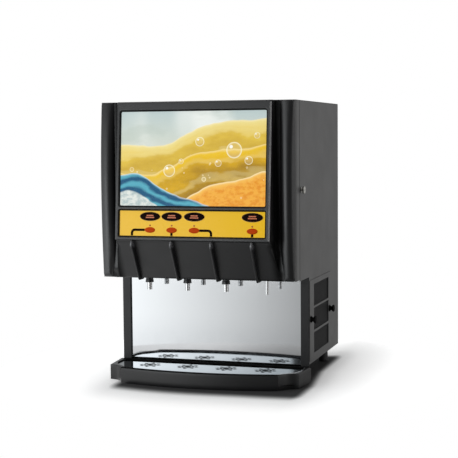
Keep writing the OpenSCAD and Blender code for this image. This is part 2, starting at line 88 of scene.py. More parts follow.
class Tree:
    """A node tree that is built with short calls. Sockets and plain numbers mix freely."""

    def __init__(self, name):
        self.mat = bpy.data.materials.new(name)
        self.mat.use_nodes = True
        self.t = self.mat.node_tree
        self.t.nodes.clear()
        out = self.t.nodes.new("ShaderNodeOutputMaterial")
        self.bsdf = self.t.nodes.new("ShaderNodeBsdfPrincipled")
        self.t.links.new(self.bsdf.outputs[0], out.inputs[0])
        self.obj = self.t.nodes.new("ShaderNodeTexCoord").outputs["Object"]

    def put(self, socket, value):
        if isinstance(value, bpy.types.NodeSocket):
            self.t.links.new(value, socket)
        else:
            socket.default_value = value

    def set(self, **kw):
        for k, v in kw.items():
            self.put(self.bsdf.inputs[k.replace("_", " ")], v)
        return self

    def stretch(self, sx, sy, sz, vec=None):
        n = self.t.nodes.new("ShaderNodeMapping")
        self.put(n.inputs["Vector"], vec or self.obj)
        n.inputs["Scale"].default_value = (sx, sy, sz)
        return n.outputs[0]

    def noise(self, scale, detail=2.0, rough=0.5, vec=None, distortion=0.0):
        n = self.t.nodes.new("ShaderNodeTexNoise")
        self.put(n.inputs["Vector"], vec or self.obj)
        n.inputs["Scale"].default_value = scale
        n.inputs["Detail"].default_value = detail
        n.inputs["Roughness"].default_value = rough
        n.inputs["Distortion"].default_value = distortion
        return n.outputs["Fac"]

    def voronoi(self, scale, vec=None, feature="F1", randomness=1.0):
        n = self.t.nodes.new("ShaderNodeTexVoronoi")
        n.feature = feature
        self.put(n.inputs["Vector"], vec or self.obj)
        n.inputs["Scale"].default_value = scale
        n.inputs["Randomness"].default_value = randomness
        return n

    def wave(self, scale, axis="X", distortion=0.0, vec=None, detail=1.0, profile="SIN"):
        n = self.t.nodes.new("ShaderNodeTexWave")
        n.bands_direction = axis
        n.wave_profile = profile
        self.put(n.inputs["Vector"], vec or self.obj)
        n.inputs["Scale"].default_value = scale
        n.inputs["Distortion"].default_value = distortion
        n.inputs["Detail"].default_value = detail
        return n.outputs["Fac"]

    def math(self, op, a, b=0.0, clamp_it=False):
        n = self.t.nodes.new("ShaderNodeMath")
        n.operation = op
        n.use_clamp = clamp_it
        self.put(n.inputs[0], a)
        self.put(n.inputs[1], b)
        return n.outputs[0]

    def span(self, v, a, b, c=0.0, d=1.0, smooth=False):
        n = self.t.nodes.new("ShaderNodeMapRange")
        n.interpolation_type = "SMOOTHSTEP" if smooth else "LINEAR"
        n.clamp = True
        for i, x in enumerate((v, a, b, c, d)):
            self.put(n.inputs[i], x)
        return n.outputs[0]

    def mix(self, f, a, b):
        n = self.t.nodes.new("ShaderNodeMix")
        n.data_type = "RGBA"
        self.put(n.inputs[0], f)
        self.put(n.inputs[6], a)
        self.put(n.inputs[7], b)
        return n.outputs[2]

    def xyz(self, vec=None):
        n = self.t.nodes.new("ShaderNodeSeparateXYZ")
        self.put(n.inputs[0], vec or self.obj)
        return n.outputs

    def vec(self, x, y, z):
        n = self.t.nodes.new("ShaderNodeCombineXYZ")
        for i, v in enumerate((x, y, z)):
            self.put(n.inputs[i], v)
        return n.outputs[0]

    def bump(self, height, strength, distance, normal=None):
        n = self.t.nodes.new("ShaderNodeBump")
        n.inputs["Strength"].default_value = strength
        n.inputs["Distance"].default_value = distance
        self.put(n.inputs["Height"], height)
        if normal is not None:
            self.put(n.inputs["Normal"], normal)
        return n.outputs[0]


def shade(col, k):
    return (col[0] * k, col[1] * k, col[2] * k, 1.0)


def finish_of(name, color, rough, spread=0.12, metal=0.0, tone=7.0, grain=900.0, grain_amount=0.06,
              grain_depth=0.0004, rough_spread=0.06, spec=0.5, coat=0.0, coat_rough=0.1, streak=None, detail=3.0):
    """A moulded, painted or metal surface: slow change of tone, fine grain in relief, uneven gloss."""
    t = Tree(name)
    vec = t.stretch(*streak) if streak else t.obj
    slow = t.noise(tone, detail, 0.55, vec)
    fine = t.noise(grain, 2.0, 0.5, vec)
    both = t.math("ADD", t.math("MULTIPLY", slow, 0.75), t.math("MULTIPLY", fine, 0.25))
    t.set(Base_Color=t.mix(t.span(both, 0.3, 0.7), shade(color, 1.0 - spread), shade(color, 1.0 + spread)))
    patch = t.noise(tone * 3.1, 2.0, 0.6, vec)
    t.set(Roughness=t.span(patch, 0.3, 0.7, max(0.02, rough - rough_spread), rough + rough_spread))
    t.set(Metallic=metal, Coat_Weight=coat, Coat_Roughness=coat_rough)
    t.bsdf.inputs["Specular IOR Level"].default_value = spec
    if grain_amount > 0:
        t.set(Normal=t.bump(fine, grain_amount, grain_depth))
    return t


M = {}
M["grey_paint"] = finish_of("grey_paint", srgb(84, 84, 84), 0.44, spread=0.02, tone=3.0, grain=420, grain_amount=0.10, grain_depth=0.0006, rough_spread=0.03, spec=0.3)
M["black_plastic"] = finish_of("black_plastic", srgb(27, 27, 28), 0.38, spread=0.08, grain=1500, grain_amount=0.10, grain_depth=0.0003, rough_spread=0.03)
M["tray_plastic"] = finish_of("tray_plastic", srgb(20, 20, 21), 0.36, spread=0.10, grain=1500, grain_amount=0.12, grain_depth=0.0003, rough_spread=0.04, spec=0.5)
M["polished_steel"] = finish_of("polished_steel", (0.60, 0.61, 0.62, 1), 0.045, spread=0.02, metal=1.0, tone=4, grain=60, grain_amount=0.012, grain_depth=0.0006, rough_spread=0.015, streak=(1, 1, 0.12))
M["tube_steel"] = finish_of("tube_steel", (0.55, 0.55, 0.55, 1), 0.30, spread=0.06, metal=1.0, tone=30, grain=1200, grain_amount=0.05, rough_spread=0.06, streak=(1, 1, 0.05))
M["zinc_steel"] = finish_of("zinc_steel", (0.58, 0.58, 0.57, 1), 0.38, spread=0.10, metal=1.0, tone=60, grain=700, grain_amount=0.05)
M["lock_nickel"] = finish_of("lock_nickel", (0.56, 0.55, 0.51, 1), 0.26, spread=0.06, metal=1.0, tone=120, grain=2500, grain_amount=0.04)
M["black_rubber"] = finish_of("black_rubber", srgb(30, 30, 31), 0.62, spread=0.15, grain=1100, grain_amount=0.25, grain_depth=0.0005)
M["post_black"] = finish_of("post_black", srgb(22, 22, 23), 0.42, spread=0.08, grain=900, grain_amount=0.08, grain_depth=0.0003, rough_spread=0.03, spec=0.35)
M["cover_edge"] = finish_of("cover_edge", srgb(30, 30, 31), 0.20, spread=0.08, grain=1500, grain_amount=0.05, grain_depth=0.0003, rough_spread=0.03, spec=0.6)
M["seal_rubber"] = finish_of("seal_rubber", srgb(12, 12, 13), 0.60, spread=0.15, grain=1100, grain_amount=0.20, grain_depth=0.0005, spec=0.15)
M["well_wall_painted_light"] = finish_of("well_wall_painted_light", srgb(58, 61, 68), 0.40, spread=0.08, grain=1100, grain_amount=0.10, grain_depth=0.0003, spec=0.4)
M["dull_rubber_and_painted_shade"] = finish_of("dull_rubber_and_painted_shade", srgb(9, 9, 9), 0.85, spread=0.20, grain=1100, grain_amount=0.25, grain_depth=0.0005, spec=0.08)
M["white_plastic"] = finish_of("white_plastic", srgb(222, 222, 217), 0.36, spread=0.03, grain=800, grain_amount=0.05)
M["juice_plastic"] = finish_of("juice_plastic", srgb(236, 176, 62), 0.28, spread=0.10, tone=11, grain=300, grain_amount=0.03, coat=0.4, coat_rough=0.12)
M["clear_hose"] = finish_of("clear_hose", srgb(226, 220, 200), 0.30, spread=0.05, grain=500, grain_amount=0.03, coat=0.3)
M["motor_grey"] = finish_of("motor_grey", srgb(120, 123, 126), 0.42, spread=0.08, grain=900, grain_amount=0.08, metal=0.6)
M["red_plastic"] = finish_of("red_plastic", srgb(205, 84, 40), 0.38, spread=0.07, grain=900, grain_amount=0.06)
M["compressor_black"] = finish_of("compressor_black", srgb(28, 28, 29), 0.30, spread=0.20, tone=20, grain=260, grain_amount=0.10, coat=0.3)
M["brass"] = finish_of("brass", (0.72, 0.52, 0.24, 1), 0.28, spread=0.10, metal=1.0, tone=80, grain=1500, grain_amount=0.05)
M["led_red"] = finish_of("led_red", srgb(170, 70, 22), 0.24, spread=0.10, tone=300, grain=3000, grain_amount=0.03, coat=0.5)
M["button_orange"] = finish_of("button_orange", srgb(198, 68, 2), 0.45, spread=0.08, tone=90, grain=1800, grain_amount=0.06, spec=0.05)
M["label_black"] = finish_of("label_black", srgb(20, 6, 4), 0.55, spread=0.25, tone=60, grain=1500, grain_amount=0.03, spec=0.03)
M["mesh_wire"] = finish_of("mesh_wire", srgb(44, 44, 45), 0.50, spread=0.20, tone=60, grain=1500, grain_amount=0.05, spec=0.3)
M["filter_mesh"] = finish_of("filter_mesh", srgb(17, 17, 18), 0.85, spread=0.30, tone=40, grain=350, grain_amount=0.6, grain_depth=0.001)
M["label_line"] = finish_of("label_line", srgb(206, 158, 58), 0.36, spread=0.06, tone=80, grain=1500, grain_amount=0.03)
M["label_mark"] = finish_of("label_mark", srgb(206, 104, 48), 0.36, spread=0.10, tone=80, grain=1500, grain_amount=0.03)


def cover_plastic():
    """Moulded cover with a semi-gloss finish. Painted shade: the channels beside the pillars and the ends of the apron
    are coloured darker and reflect less, and the right pillar is coloured darker. The left pillar is rubbed glossy low
    down, where the hand that swings the door leans on it."""
    t = finish_of("cover_plastic", srgb(27, 27, 28), 0.38, spread=0.08, grain=1500, grain_amount=0.10, grain_depth=0.0003, rough_spread=0.03)
    X, _, Z = t.xyz()
    side = t.math("ABSOLUTE", X)
    # mask of the painted shade: zero in the channels beside the pillars and at the ends of the apron
    upper = t.span(Z, 0.376, 0.387)
    face = t.span(side, t.span(upper, 0.0, 1.0, 0.196, 0.2094), t.span(upper, 0.0, 1.0, 0.220, 0.2104), 1.0, 0.0, smooth=True)
    hand = t.span(X, -0.222, -0.212, 1.0, 0.0)
    inner = t.math("MULTIPLY", hand, -0.007)
    outside_painted_shade = t.math("ADD", face, t.span(side, t.math("ADD", inner, 0.223), t.math("ADD", inner, 0.237), smooth=True), True)
    tone = t.bsdf.inputs["Base Color"].links[0].from_socket
    # painted shade: the right pillar is coloured darker
    tone = t.mix(t.span(X, 0.222, 0.236), tone, srgb(18, 18, 19))
    # painted shade: the channels and the ends of the apron take a darker colour
    t.set(Base_Color=t.mix(outside_painted_shade, srgb(13, 13, 13), tone))
    gloss = t.math("ADD", 0.5, t.math("MULTIPLY", hand, t.span(Z, 0.335, 0.72, 0.30, -0.20)))
    t.put(t.bsdf.inputs["Specular IOR Level"], t.span(outside_painted_shade, 0.0, 1.0, 0.08, gloss))
    return t


def rib_plastic():
    """Plastic of the drip ribs, with a painted highlight: a lighter, glossier colour at their upper ends."""
    t = finish_of("rib_plastic", srgb(27, 27, 28), 0.38, spread=0.08, grain=1500, grain_amount=0.10, grain_depth=0.0003, rough_spread=0.03)
    z = t.math("ADD", t.xyz()[2], t.math("MULTIPLY", t.math("SUBTRACT", t.noise(120, 2), 0.5), 0.006))
    # painted highlight: the upper ends of the ribs are coloured lighter
    painted_highlight = t.math("MULTIPLY", t.span(z, 0.364, 0.375, smooth=True), t.span(z, 0.381, 0.386, 1.0, 0.0, smooth=True))
    tone = t.bsdf.inputs["Base Color"].links[0].from_socket
    t.set(Base_Color=t.mix(painted_highlight, tone, srgb(92, 92, 95)), Roughness=t.span(painted_highlight, 0.0, 1.0, 0.38, 0.26))
    t.put(t.bsdf.inputs["Specular IOR Level"], t.span(painted_highlight, 0.0, 1.0, 0.5, 0.8))
    return t


def fin_aluminium():
    t = finish_of("fin_aluminium", (0.66, 0.67, 0.68, 1), 0.34, spread=0.12, metal=1.0, tone=40, grain=800, grain_amount=0.05)
    fins = t.wave(160.0, "Z", 0.3)
    t.set(Normal=t.bump(fins, 0.5, 0.001))
    return t


def grille_steel():
    """Polished plate with painted shade: the walls of the slots are coloured dark and dull, the plate is painted darker
    towards each rosette's middle, and the tint of its reflection is painted dimmer towards the right.
    """
    t = finish_of("grille_steel", (0.60, 0.61, 0.62, 1), 0.07, spread=0.02, metal=1.0, tone=4, grain=60, grain_amount=0.012, grain_depth=0.0006, rough_spread=0.015)
    nz = t.xyz(t.t.nodes.new("ShaderNodeNewGeometry").outputs["Normal"])[2]
    # painted shade: faces that do not face up or down, the walls of the slots, are coloured dark
    top = t.span(t.math("ABSOLUTE", nz), 0.86, 0.96)
    plate = t.mix(t.noise(30, 3), (0.44, 0.455, 0.465, 1), (0.48, 0.495, 0.505, 1))
    X, Y, _ = t.xyz()
    ax = t.math("SUBTRACT", 0.054, t.math("PINGPONG", X, 0.054))
    ay = t.math("SUBTRACT", Y, (30.0 - Y_MID) * MM)
    rr = t.math("SQRT", t.math("ADD", t.math("MULTIPLY", ax, ax), t.math("MULTIPLY", ay, ay)))
    # painted shade round the rosettes: darker and rougher towards each rosette's middle
    outside_rosette_shade = t.math("ADD", t.span(rr, 0.004, 0.031, 0.1, 1.0), t.span(t.noise(160, 3), 0.35, 0.75, 0.0, 0.2), clamp_it=True)
    plate = t.mix(outside_rosette_shade, (0.24, 0.246, 0.25, 1), plate)
    t.set(Base_Color=t.mix(top, srgb(16, 16, 17), plate), Metallic=top,
          Roughness=t.math("ADD", t.span(top, 0.0, 1.0, 0.75, 0.07), t.span(outside_rosette_shade, 0.0, 1.0, 0.06, 0.0)))
    # painted reflection: the tint of the reflection grows dimmer towards the right
    across = t.span(X, -0.21, 0.20)
    t.set(Specular_Tint=t.mix(outside_rosette_shade, t.mix(across, (0.30, 0.305, 0.31, 1), (0.12, 0.125, 0.128, 1)), t.mix(across, (0.635, 0.645, 0.655, 1), (0.285, 0.296, 0.304, 1))))
    return t


def splash_steel():
    """Polished sheet, painted darker towards the tray as painted shade, with a noisy edge."""
    t = finish_of("splash_steel", (0.60, 0.61, 0.62, 1), 0.045, spread=0.02, metal=1.0, tone=4, grain=60, grain_amount=0.012, grain_depth=0.0006, rough_spread=0.015, streak=(1, 1, 0.12))
    # painted shade: the colour darkens towards the tray
    painted_shade_near_tray = t.math("MULTIPLY", t.span(t.xyz()[2], 0.07, 0.18, 1.0, 0.0, smooth=True), t.span(t.noise(40, 3), 0.25, 0.75, 0.7, 1.0))
    sheet = t.mix(t.noise(4, 2), (0.594, 0.604, 0.614, 1), (0.606, 0.616, 0.626, 1))
    t.set(Base_Color=t.mix(painted_shade_near_tray, sheet, (0.525, 0.536, 0.547, 1)))
    return t


def board_green():
    t = finish_of("board_green", srgb(24, 92, 48), 0.30, spread=0.12, tone=60, grain=1200, grain_amount=0.04, coat=0.5)
    cell = t.voronoi(220.0, feature="DISTANCE_TO_EDGE")
    line = t.span(cell.outputs["Distance"], 0.04, 0.08, 1.0, 0.0)
    t.set(Base_Color=t.mix(line, srgb(22, 88, 44), srgb(60, 140, 74)))
    return t


def led_white():
    t = finish_of("led_white", srgb(245, 242, 228), 0.30, spread=0.02, tone=60, grain=900, grain_amount=0.03)
    dots = t.span(t.math("PINGPONG", t.xyz()[0], 0.0075), 0.001, 0.004, 1.0, 0.15)
    t.set(Emission_Color=(1.0, 0.96, 0.86, 1), Emission_Strength=t.math("MULTIPLY", dots, 1.2))
    return t


def fascia_yellow():
    t = finish_of("fascia_yellow", srgb(238, 190, 38), 0.30, spread=0.03, tone=9, grain=1400, grain_amount=0.04)
    across = t.span(t.math("ADD", t.xyz()[0], t.math("MULTIPLY", t.noise(9, 2), 0.06)), -0.17, 0.22)
    col = t.mix(across, srgb(234, 187, 58), srgb(228, 180, 4))
    # painted light: the panel is no lamp; its emission stands in for light falling on it, with the base colour dimmed
    # to match
    t.set(Base_Color=t.mix(0.35, col, (0.0, 0.0, 0.0, 1.0)), Emission_Color=col, Emission_Strength=0.49)
    t.bsdf.inputs["Specular IOR Level"].default_value = 0.18
    return t


def display_print():
    """Generic drink design: layered waves of juice with bubbles below a pale sky."""
    t = Tree("display_print")
    X, _, Z = t.xyz()
    u = t.math("MULTIPLY", X, 5.0)
    v = t.math("MULTIPLY", t.math("SUBTRACT", Z, 0.4755), 1.0 / 0.2445)
    wob = t.math("MULTIPLY", t.math("SUBTRACT", t.noise(14, 2), 0.5), 0.10)

    def edge(base, terms):
        e = t.math("ADD", wob, base)
        for amp, freq, ph in terms:
            s = t.math("SINE", t.math("ADD", t.math("MULTIPLY", u, freq), ph))
            e = t.math("ADD", e, t.math("MULTIPLY", s, amp))
        return t.math("SUBTRACT", e, v)

    def over(col, depth, near, far, soft=0.012, reach=0.30, rim=0.5):
        """Puts a wave layer over col: near its crest the colour near, deeper down far."""
        body = t.mix(t.span(depth, 0.0, reach, smooth=True), near, far)
        crest = t.span(depth, 0.0, 0.035, rim, 0.0, smooth=True)
        body = t.mix(crest, body, srgb(255, 246, 205))
        return t.mix(t.span(depth, 0.0, soft, smooth=True), col, body)

    drift = t.noise(9.0, 3.0, 0.6, t.stretch(1.0, 1.0, 2.2))
    pulp = t.noise(60.0, 3.0, 0.65, t.stretch(1.0, 1.0, 1.6))

    def toned(depth, light, shadow, lines):
        """Colour of a wave: light and shade drift through it, with soft lines that follow its crest."""
        c = t.mix(t.span(t.math("ADD", t.math("MULTIPLY", depth, 1.1), t.math("MULTIPLY", drift, 0.9)), 0.36, 0.95, smooth=True), light, shadow)
        run = t.math("SINE", t.math("ADD", t.math("MULTIPLY", depth, lines), t.math("MULTIPLY", drift, 9.0)))
        return t.mix(t.span(run, 0.2, 1.0, 0.0, 0.22, smooth=True), c, srgb(255, 244, 176))

    sky = t.mix(t.span(v, 0.45, 1.0), srgb(222, 224, 206), srgb(188, 204, 204))
    glow = t.noise(5.0, 2.0, 0.5, t.stretch(1.0, 1.0, 0.4))
    sky = t.mix(t.span(glow, 0.46, 0.64, 0.0, 0.75, smooth=True), sky, srgb(246, 248, 242))
    sky = t.mix(t.span(drift, 0.46, 0.68, 0.0, 0.5, smooth=True), sky, srgb(188, 200, 190))
    d1 = edge(0.76, [(0.16, 1.5, 0.1), (0.035, 5.1, 0.3)])
    col = over(sky, d1, srgb(240, 222, 146), toned(d1, srgb(236, 204, 78), srgb(202, 164, 52), 30.0), reach=0.16)
    d2 = edge(0.51, [(0.15, 1.9, -0.2), (0.04, 4.3, 1.4)])
    col = over(col, d2, srgb(238, 196, 40), toned(d2, srgb(234, 184, 20), srgb(164, 124, 26), 34.0), reach=0.14)
    d3 = edge(0.19, [(0.19, 2.0, -0.5), (0.03, 5.6, 0.7)])
    flesh = t.mix(t.span(pulp, 0.38, 0.66, smooth=True), srgb(244, 176, 62), srgb(232, 146, 34))
    col = over(col, d3, srgb(250, 196, 92), flesh, reach=0.10, rim=0.75)
    # bubbles in the juice
    flat = t.vec(X, 0.0, Z)
    for scale, size, top in ((26.0, 0.24, 0.50), (60.0, 0.20, 0.58)):
        cells = t.voronoi(scale, flat)
        d, rnd = cells.outputs["Distance"], cells.outputs["Color"]
        pick = t.xyz(rnd)
        r = t.math("MULTIPLY", pick[0], size)
        disc = t.span(t.math("SUBTRACT", r, d), 0.0, 0.02, smooth=True)
        ring = t.math("MULTIPLY", disc, t.span(t.math("SUBTRACT", r, d), 0.02, 0.08, 1.0, 0.25, smooth=True))
        shown = t.math("MULTIPLY", ring, t.span(v, top, top - 0.15, 0.0, 0.75, smooth=True))
        shown = t.math("MULTIPLY", shown, t.span(pick[1], 0.45, 0.5))
        col = t.mix(shown, col, srgb(255, 243, 200))

    def bubble(col, cx, cz, r):
        """Clear ball: pale rim, darker foot and a small glint."""
        qx, qz = t.math("DIVIDE", t.math("SUBTRACT", X, cx), r), t.math("DIVIDE", t.math("SUBTRACT", Z, cz), r)
        q = t.math("SQRT", t.math("ADD", t.math("MULTIPLY", qx, qx), t.math("MULTIPLY", qz, qz)))
        inside = t.span(q, 0.97, 1.0, 1.0, 0.0, smooth=True)
        foot = t.math("MULTIPLY", inside, t.span(t.math("SUBTRACT", t.math("MULTIPLY", q, 0.6), qz), 0.3, 1.5, 0.0, 0.55, smooth=True))
        rim = t.math("MULTIPLY", inside, t.span(q, 0.74, 0.98, 0.12, 0.85, smooth=True))
        hx, hz = t.math("ADD", qx, 0.38), t.math("SUBTRACT", qz, 0.42)
        h = t.span(t.math("ADD", t.math("MULTIPLY", hx, hx), t.math("MULTIPLY", hz, hz)), 0.02, 0.07, 0.95, 0.0, smooth=True)
        col = t.mix(foot, col, srgb(176, 128, 24))
        col = t.mix(rim, col, srgb(255, 248, 214))
        return t.mix(t.math("MULTIPLY", h, inside), col, srgb(255, 255, 250))

    for cx, cz, r in ((0.112, 0.618, 0.021), (0.151, 0.592, 0.011), (0.070, 0.585, 0.009), (-0.062, 0.566, 0.016), (-0.030, 0.590, 0.007), (0.020, 0.640, 0.012), (0.172, 0.655, 0.008)):
        col = bubble(col, cx, cz, r)
    # cool water and foam in the lower left
    cool = edge(0.11, [(0.22, 1.8, 3.37), (0.02, 6.2, 0.2)])
    ripple = t.math("SINE", t.math("ADD", t.math("MULTIPLY", cool, 60.0), t.math("ADD", t.math("MULTIPLY", u, 5.0), t.math("MULTIPLY", drift, 8.0))))
    water = t.mix(t.span(ripple, -0.6, 0.9), srgb(10, 84, 122), srgb(84, 170, 190))
    water = t.mix(t.span(cool, 0.0, 0.03, 0.75, 0.0, smooth=True), water, srgb(236, 246, 246))
    col = t.mix(t.span(cool, 0.0, 0.012, smooth=True), col, water)
    foam = edge(-0.08, [(0.22, 2.0, 3.6), (0.02, 7.0, 1.0)])
    froth = t.mix(t.span(pulp, 0.40, 0.62), srgb(226, 230, 224), srgb(178, 194, 194))
    col = t.mix(t.span(foam, 0.0, 0.02, smooth=True), col, froth)
    speck = t.noise(700, 2.0, 0.6)
    col = t.mix(t.span(speck, 0.55, 0.75, 0.0, 0.10), col, srgb(255, 250, 225))
    t.set(Base_Color=t.mix(0.5, col, (0.0, 0.0, 0.0, 1.0)), Emission_Color=col, Roughness=t.span(speck, 0.3, 0.7, 0.16, 0.24))
    t.set(Emission_Strength=0.62, Metallic=0.0)
    t.bsdf.inputs["Specular IOR Level"].default_value = 0.2
    t.set(Normal=t.bump(speck, 0.02, 0.0002))
    return t


M["cover_plastic"] = cover_plastic()
M["rib_plastic"] = rib_plastic()
M["fin_aluminium"] = fin_aluminium()
M["grille_steel"] = grille_steel()
M["splash_steel"] = splash_steel()
M["board_green"] = board_green()
M["led_white"] = led_white()
M["fascia_yellow"] = fascia_yellow()
M["display_print"] = display_print()


# ---------------------------------------------------------------- mesh helpers


def new_object(name, bm, mats, body, replaced=(), angle=35.0, weld=1e-6):
    bmesh.ops.remove_doubles(bm, verts=bm.verts, dist=weld)
    bmesh.ops.dissolve_degenerate(bm, edges=bm.edges, dist=weld)
    bmesh.ops.recalc_face_normals(bm, faces=bm.faces)
    me = bpy.data.meshes.new(name)
    bm.to_mesh(me)
    bm.free()
    for p in me.polygons:
        p.use_smooth = True
    me.set_sharp_from_angle(angle=math.radians(angle))
    ob = bpy.data.objects.new(name, me)
    bpy.context.scene.collection.objects.link(ob)
    for m in mats:
        me.materials.append(M[m].mat)
    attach(ob, body)
    if replaced:
        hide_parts(*replaced)
    return ob


def loft(bm, rings, closed=True, cap_start=False, cap_end=False, mat=0):
    """Skin between rings of points with the same count."""
    vs = [[bm.verts.new(p) for p in r] for r in rings]
    n = len(vs[0])
    for a, b in zip(vs, vs[1:]):
        for i in range(n if closed else n - 1):
            k = (i + 1) % n
            f = bm.faces.new((a[i], a[k], b[k], b[i]))
            f.material_index = mat
    if cap_start:
        bm.faces.new(vs[0][::-1]).material_index = mat
    if cap_end:
        bm.faces.new(vs[-1]).material_index = mat
    return vs


def bevelled(ob, width, segments=2, angle=35.0, weld=True):
    """Rounded edges on a piece of the construction, as a modifier."""
    if weld:
        w = ob.modifiers.new("weld", "WELD")
        w.merge_threshold = 2e-6
    # flat faces are made whole first, so that the rounding leaves no slivers across them
    f = ob.modifiers.new("flat", "DECIMATE")
    f.decimate_type = "DISSOLVE"
    f.angle_limit = math.radians(0.4)
    b = ob.modifiers.new("edges", "BEVEL")
    b.width = width * MM
    b.segments = segments
    b.limit_method = "ANGLE"
    b.angle_limit = math.radians(angle)
    b.harden_normals = True
    b.use_clamp_overlap = True
    return ob


# ---------------------------------------------------------------- door cover

FRAME_HALF = 209.0
WIN_HALF = 196.5
WINDOWS = ((-1.0, 64.5), (77.0, 321.0))
WIN_CORNER = (5.0, 7.0)
OPENING = 3.4
BORDER = 6.0


def u_to_z(u):
    return 399.0 + u * CL


def smooth_min(a, b, k):
    if k <= 0:
        return min(a, b)
    h = clamp(0.5 + 0.5 * (b - a) / k)
    return lerp(b, a, h) - k * h * (1 - h)


def ease(t):
    t = clamp(t)
    return t * t * (3 - 2 * t)


def pillar_depth(z):
    d = z - 526.0
    return 20.0 - (2.75e-4 if d > 0 else 1.95e-4) * d * d


def pillar_outer(z):
    """Half width of a pillar on its outer side: bowed in elevation, with a rounded corner at the top."""
    d = z - 520.0
    a = 20.6 - (3.6 * (d / 224.0) ** 2 if d > 0 else 2.9 * (d / 235.0) ** 2)
    if z > 737.0:
        a -= 7.0 - math.sqrt(max(0.0, 49.0 - (z - 737.0) ** 2))
    if z < 292.0:
        a -= 5.0 - math.sqrt(max(0.0, 25.0 - ((292.0 - z) * 5.0 / 9.0) ** 2))
    return a


def pillar_inner(z):
    """Half width on the inner side: the pillar grows narrower beside the apron."""
    return 20.0 - 9.0 * ease((372.0 - z) / 80.0)


def cover_rows():
    """Height, depth of the middle, depth of the channel floor, height and depth of the pillars and
    the softness of their root, from the top's back edge down to the lip under the apron."""
    rows = [(744.0, -40.0, -40.0, 744.0, 0.0, 0.0)]
    for i in range(6):
        a = math.radians(90 - 18 * i)
        rows.append((739.0 + 5 * math.sin(a), face_y(739) + 5 - 5 * math.cos(a), -40 - 3 * math.cos(a) - 0.6 * math.sin(a),
                     739.0 + 5 * math.sin(a), pillar_depth(739) - 5 + 5 * math.cos(a), 2.0))
    zs = [736.0, 730.0]
    near = (0.0, 1.5, 3.0, 4.5, 6.0, 8.0, 10.0, 13.0)
    for lo, hi in reversed(WINDOWS):
        top, bot = u_to_z(hi + BORDER), u_to_z(lo - BORDER)
        zs += [top - g for g in near]
        n = max(2, round((top - bot - 26.0) / 11.0))
        zs += [lerp(top - 13.0, bot + 13.0, i / n) for i in range(1, n)]
        zs += [bot + g for g in reversed(near)]
    zs += [390.5, 389.0]
    for z in zs:
        rows.append((z, face_y(z), -43.0, z, pillar_depth(z), 3.0))
    for i in range(1, 5):
        a = math.radians(22.5 * i)
        z = 389 - 3 * math.sin(a)
        rows.append((z, face_y(389) + 3 - 3 * math.cos(a), -43.0, z, pillar_depth(z), 3.0))
    for y, z in ((-87.0, 385.9), (-85.4, 385.4), (-84.2, 384.0)):
        rows.append((z, y, -43.0, z, pillar_depth(z), 3.0))
    n = 26
    for i in range(n + 1):
        s = i / n
        y = lerp(-83.4, -33.5, s) + 1.6 * math.sin(math.pi * s)
        z = lerp(381.6, 286.4, s)
        zp = z if z > 300 else 283 + (z - 281) * 17 / 19
        dp = pillar_depth(zp)
        if zp < 292:
            q = clamp((292 - zp) / 9)
            dp *= math.sqrt(max(0.0, 1 - q * q))
        rows.append((z, y, max(-43.0, y), zp, dp, lerp(3.0, 16.0, s ** 1.5)))
    for i in range(1, 7):
        s = i / 6
        y = (1 - s) ** 2 * -33.5 + 2 * s * (1 - s) * -30.6 + s * s * -25.5
        z = (1 - s) ** 2 * 286.4 + 2 * s * (1 - s) * 281.0 + s * s * 281.0
        zp = 283 + (z - 281) * 17 / 19
        q = clamp((292 - zp) / 9)
        dp = pillar_depth(zp) * math.sqrt(max(0.0, 1 - q * q))
        rows.append((z, y, y, max(283.0, zp), dp, 16.0))
    rows.append((281.0, -18.0, -18.0, 283.0, 0.0, 14.0))
    rows.append((281.0, -8.2, -8.2, 283.0, 0.0, 14.0))
    return rows


EDGE_STEPS = (0.0, 0.05, 0.2, 0.4, 0.6, 0.8, 0.95, 1.0)
FACE_X = (0, 28, 54, 80, 108, 135, 162, 180, 189.5, 192.5, 194.5, 196.5, 198, 199.5, 201, 202.5)


def cover_half_row(row):
    z, y, floor, zp, depth, soft = row
    low = clamp((386 - z) / 96)
    half = FRAME_HALF + 16.0 * low ** 1.3
    gap = max(0.0, floor - y)
    re = min(4.0 + 15.0 * ease(low * 4.0), gap * 0.48)
    rf = min(4.0 + 8.0 * ease(low * 3.0), gap * 0.45)
    lim = min(202.5, half - re - 0.5)
    out = [(x if x <= 180 else lerp(180.0, lim, (x - 180.0) / 22.5), y, z) for x in FACE_X]
    # chamfered beside the windows, round on the apron
    crisp = ease((z - 380.0) / 8.0)
    for i, c in enumerate(EDGE_STEPS):
        a = math.radians(90 / 7 * i)
        out.append((half - re + re * lerp(math.sin(a), c, crisp), y + re * lerp(1 - math.cos(a), c, crisp), z))
    for s in (0.3, 0.65):
        out.append((half, lerp(y + re, floor - rf, s), z))
    for i in range(5):
        a = math.radians(22.5 * i)
        out.append((half + rf * (1 - math.cos(a)), floor - rf + rf * math.sin(a), z))
    x0 = half + rf
    ai, ao = pillar_inner(zp), pillar_outer(zp)
    root = max(x0 + 1.0, 245.0 - ai)
    xs = [lerp(x0, root, s) for s in (0.3, 0.55, 0.75, 0.9)]
    for a in range(0, 181, 8):
        c = -math.cos(math.radians(a))
        xs.append(lerp(245.0, root, -c) if c < 0 else 245.0 + ao * c)
    xs.append(245.0 + ao)
    for x in xs:
        if x <= 245.0 - ai:
            yp = -40.0 + (245.0 - ai - x) * 1.6
        else:
            c = (x - 245.0) / (ai if x < 245.0 else ao)
            yp = -40.0 - depth * math.sqrt(max(0.0, 1 - c * c))
        yy = smooth_min(floor, yp, soft * clamp((243.0 - x) / 12.0)) if x < 243 else yp
        if x > 237.5:
            yy = min(yy, -40.0)
        zz = lerp(z, zp, clamp((x - half) / (234.0 - half)) if x < 234 and half < 233 else 1.0)
        out.append((x, yy, zz))
    return out


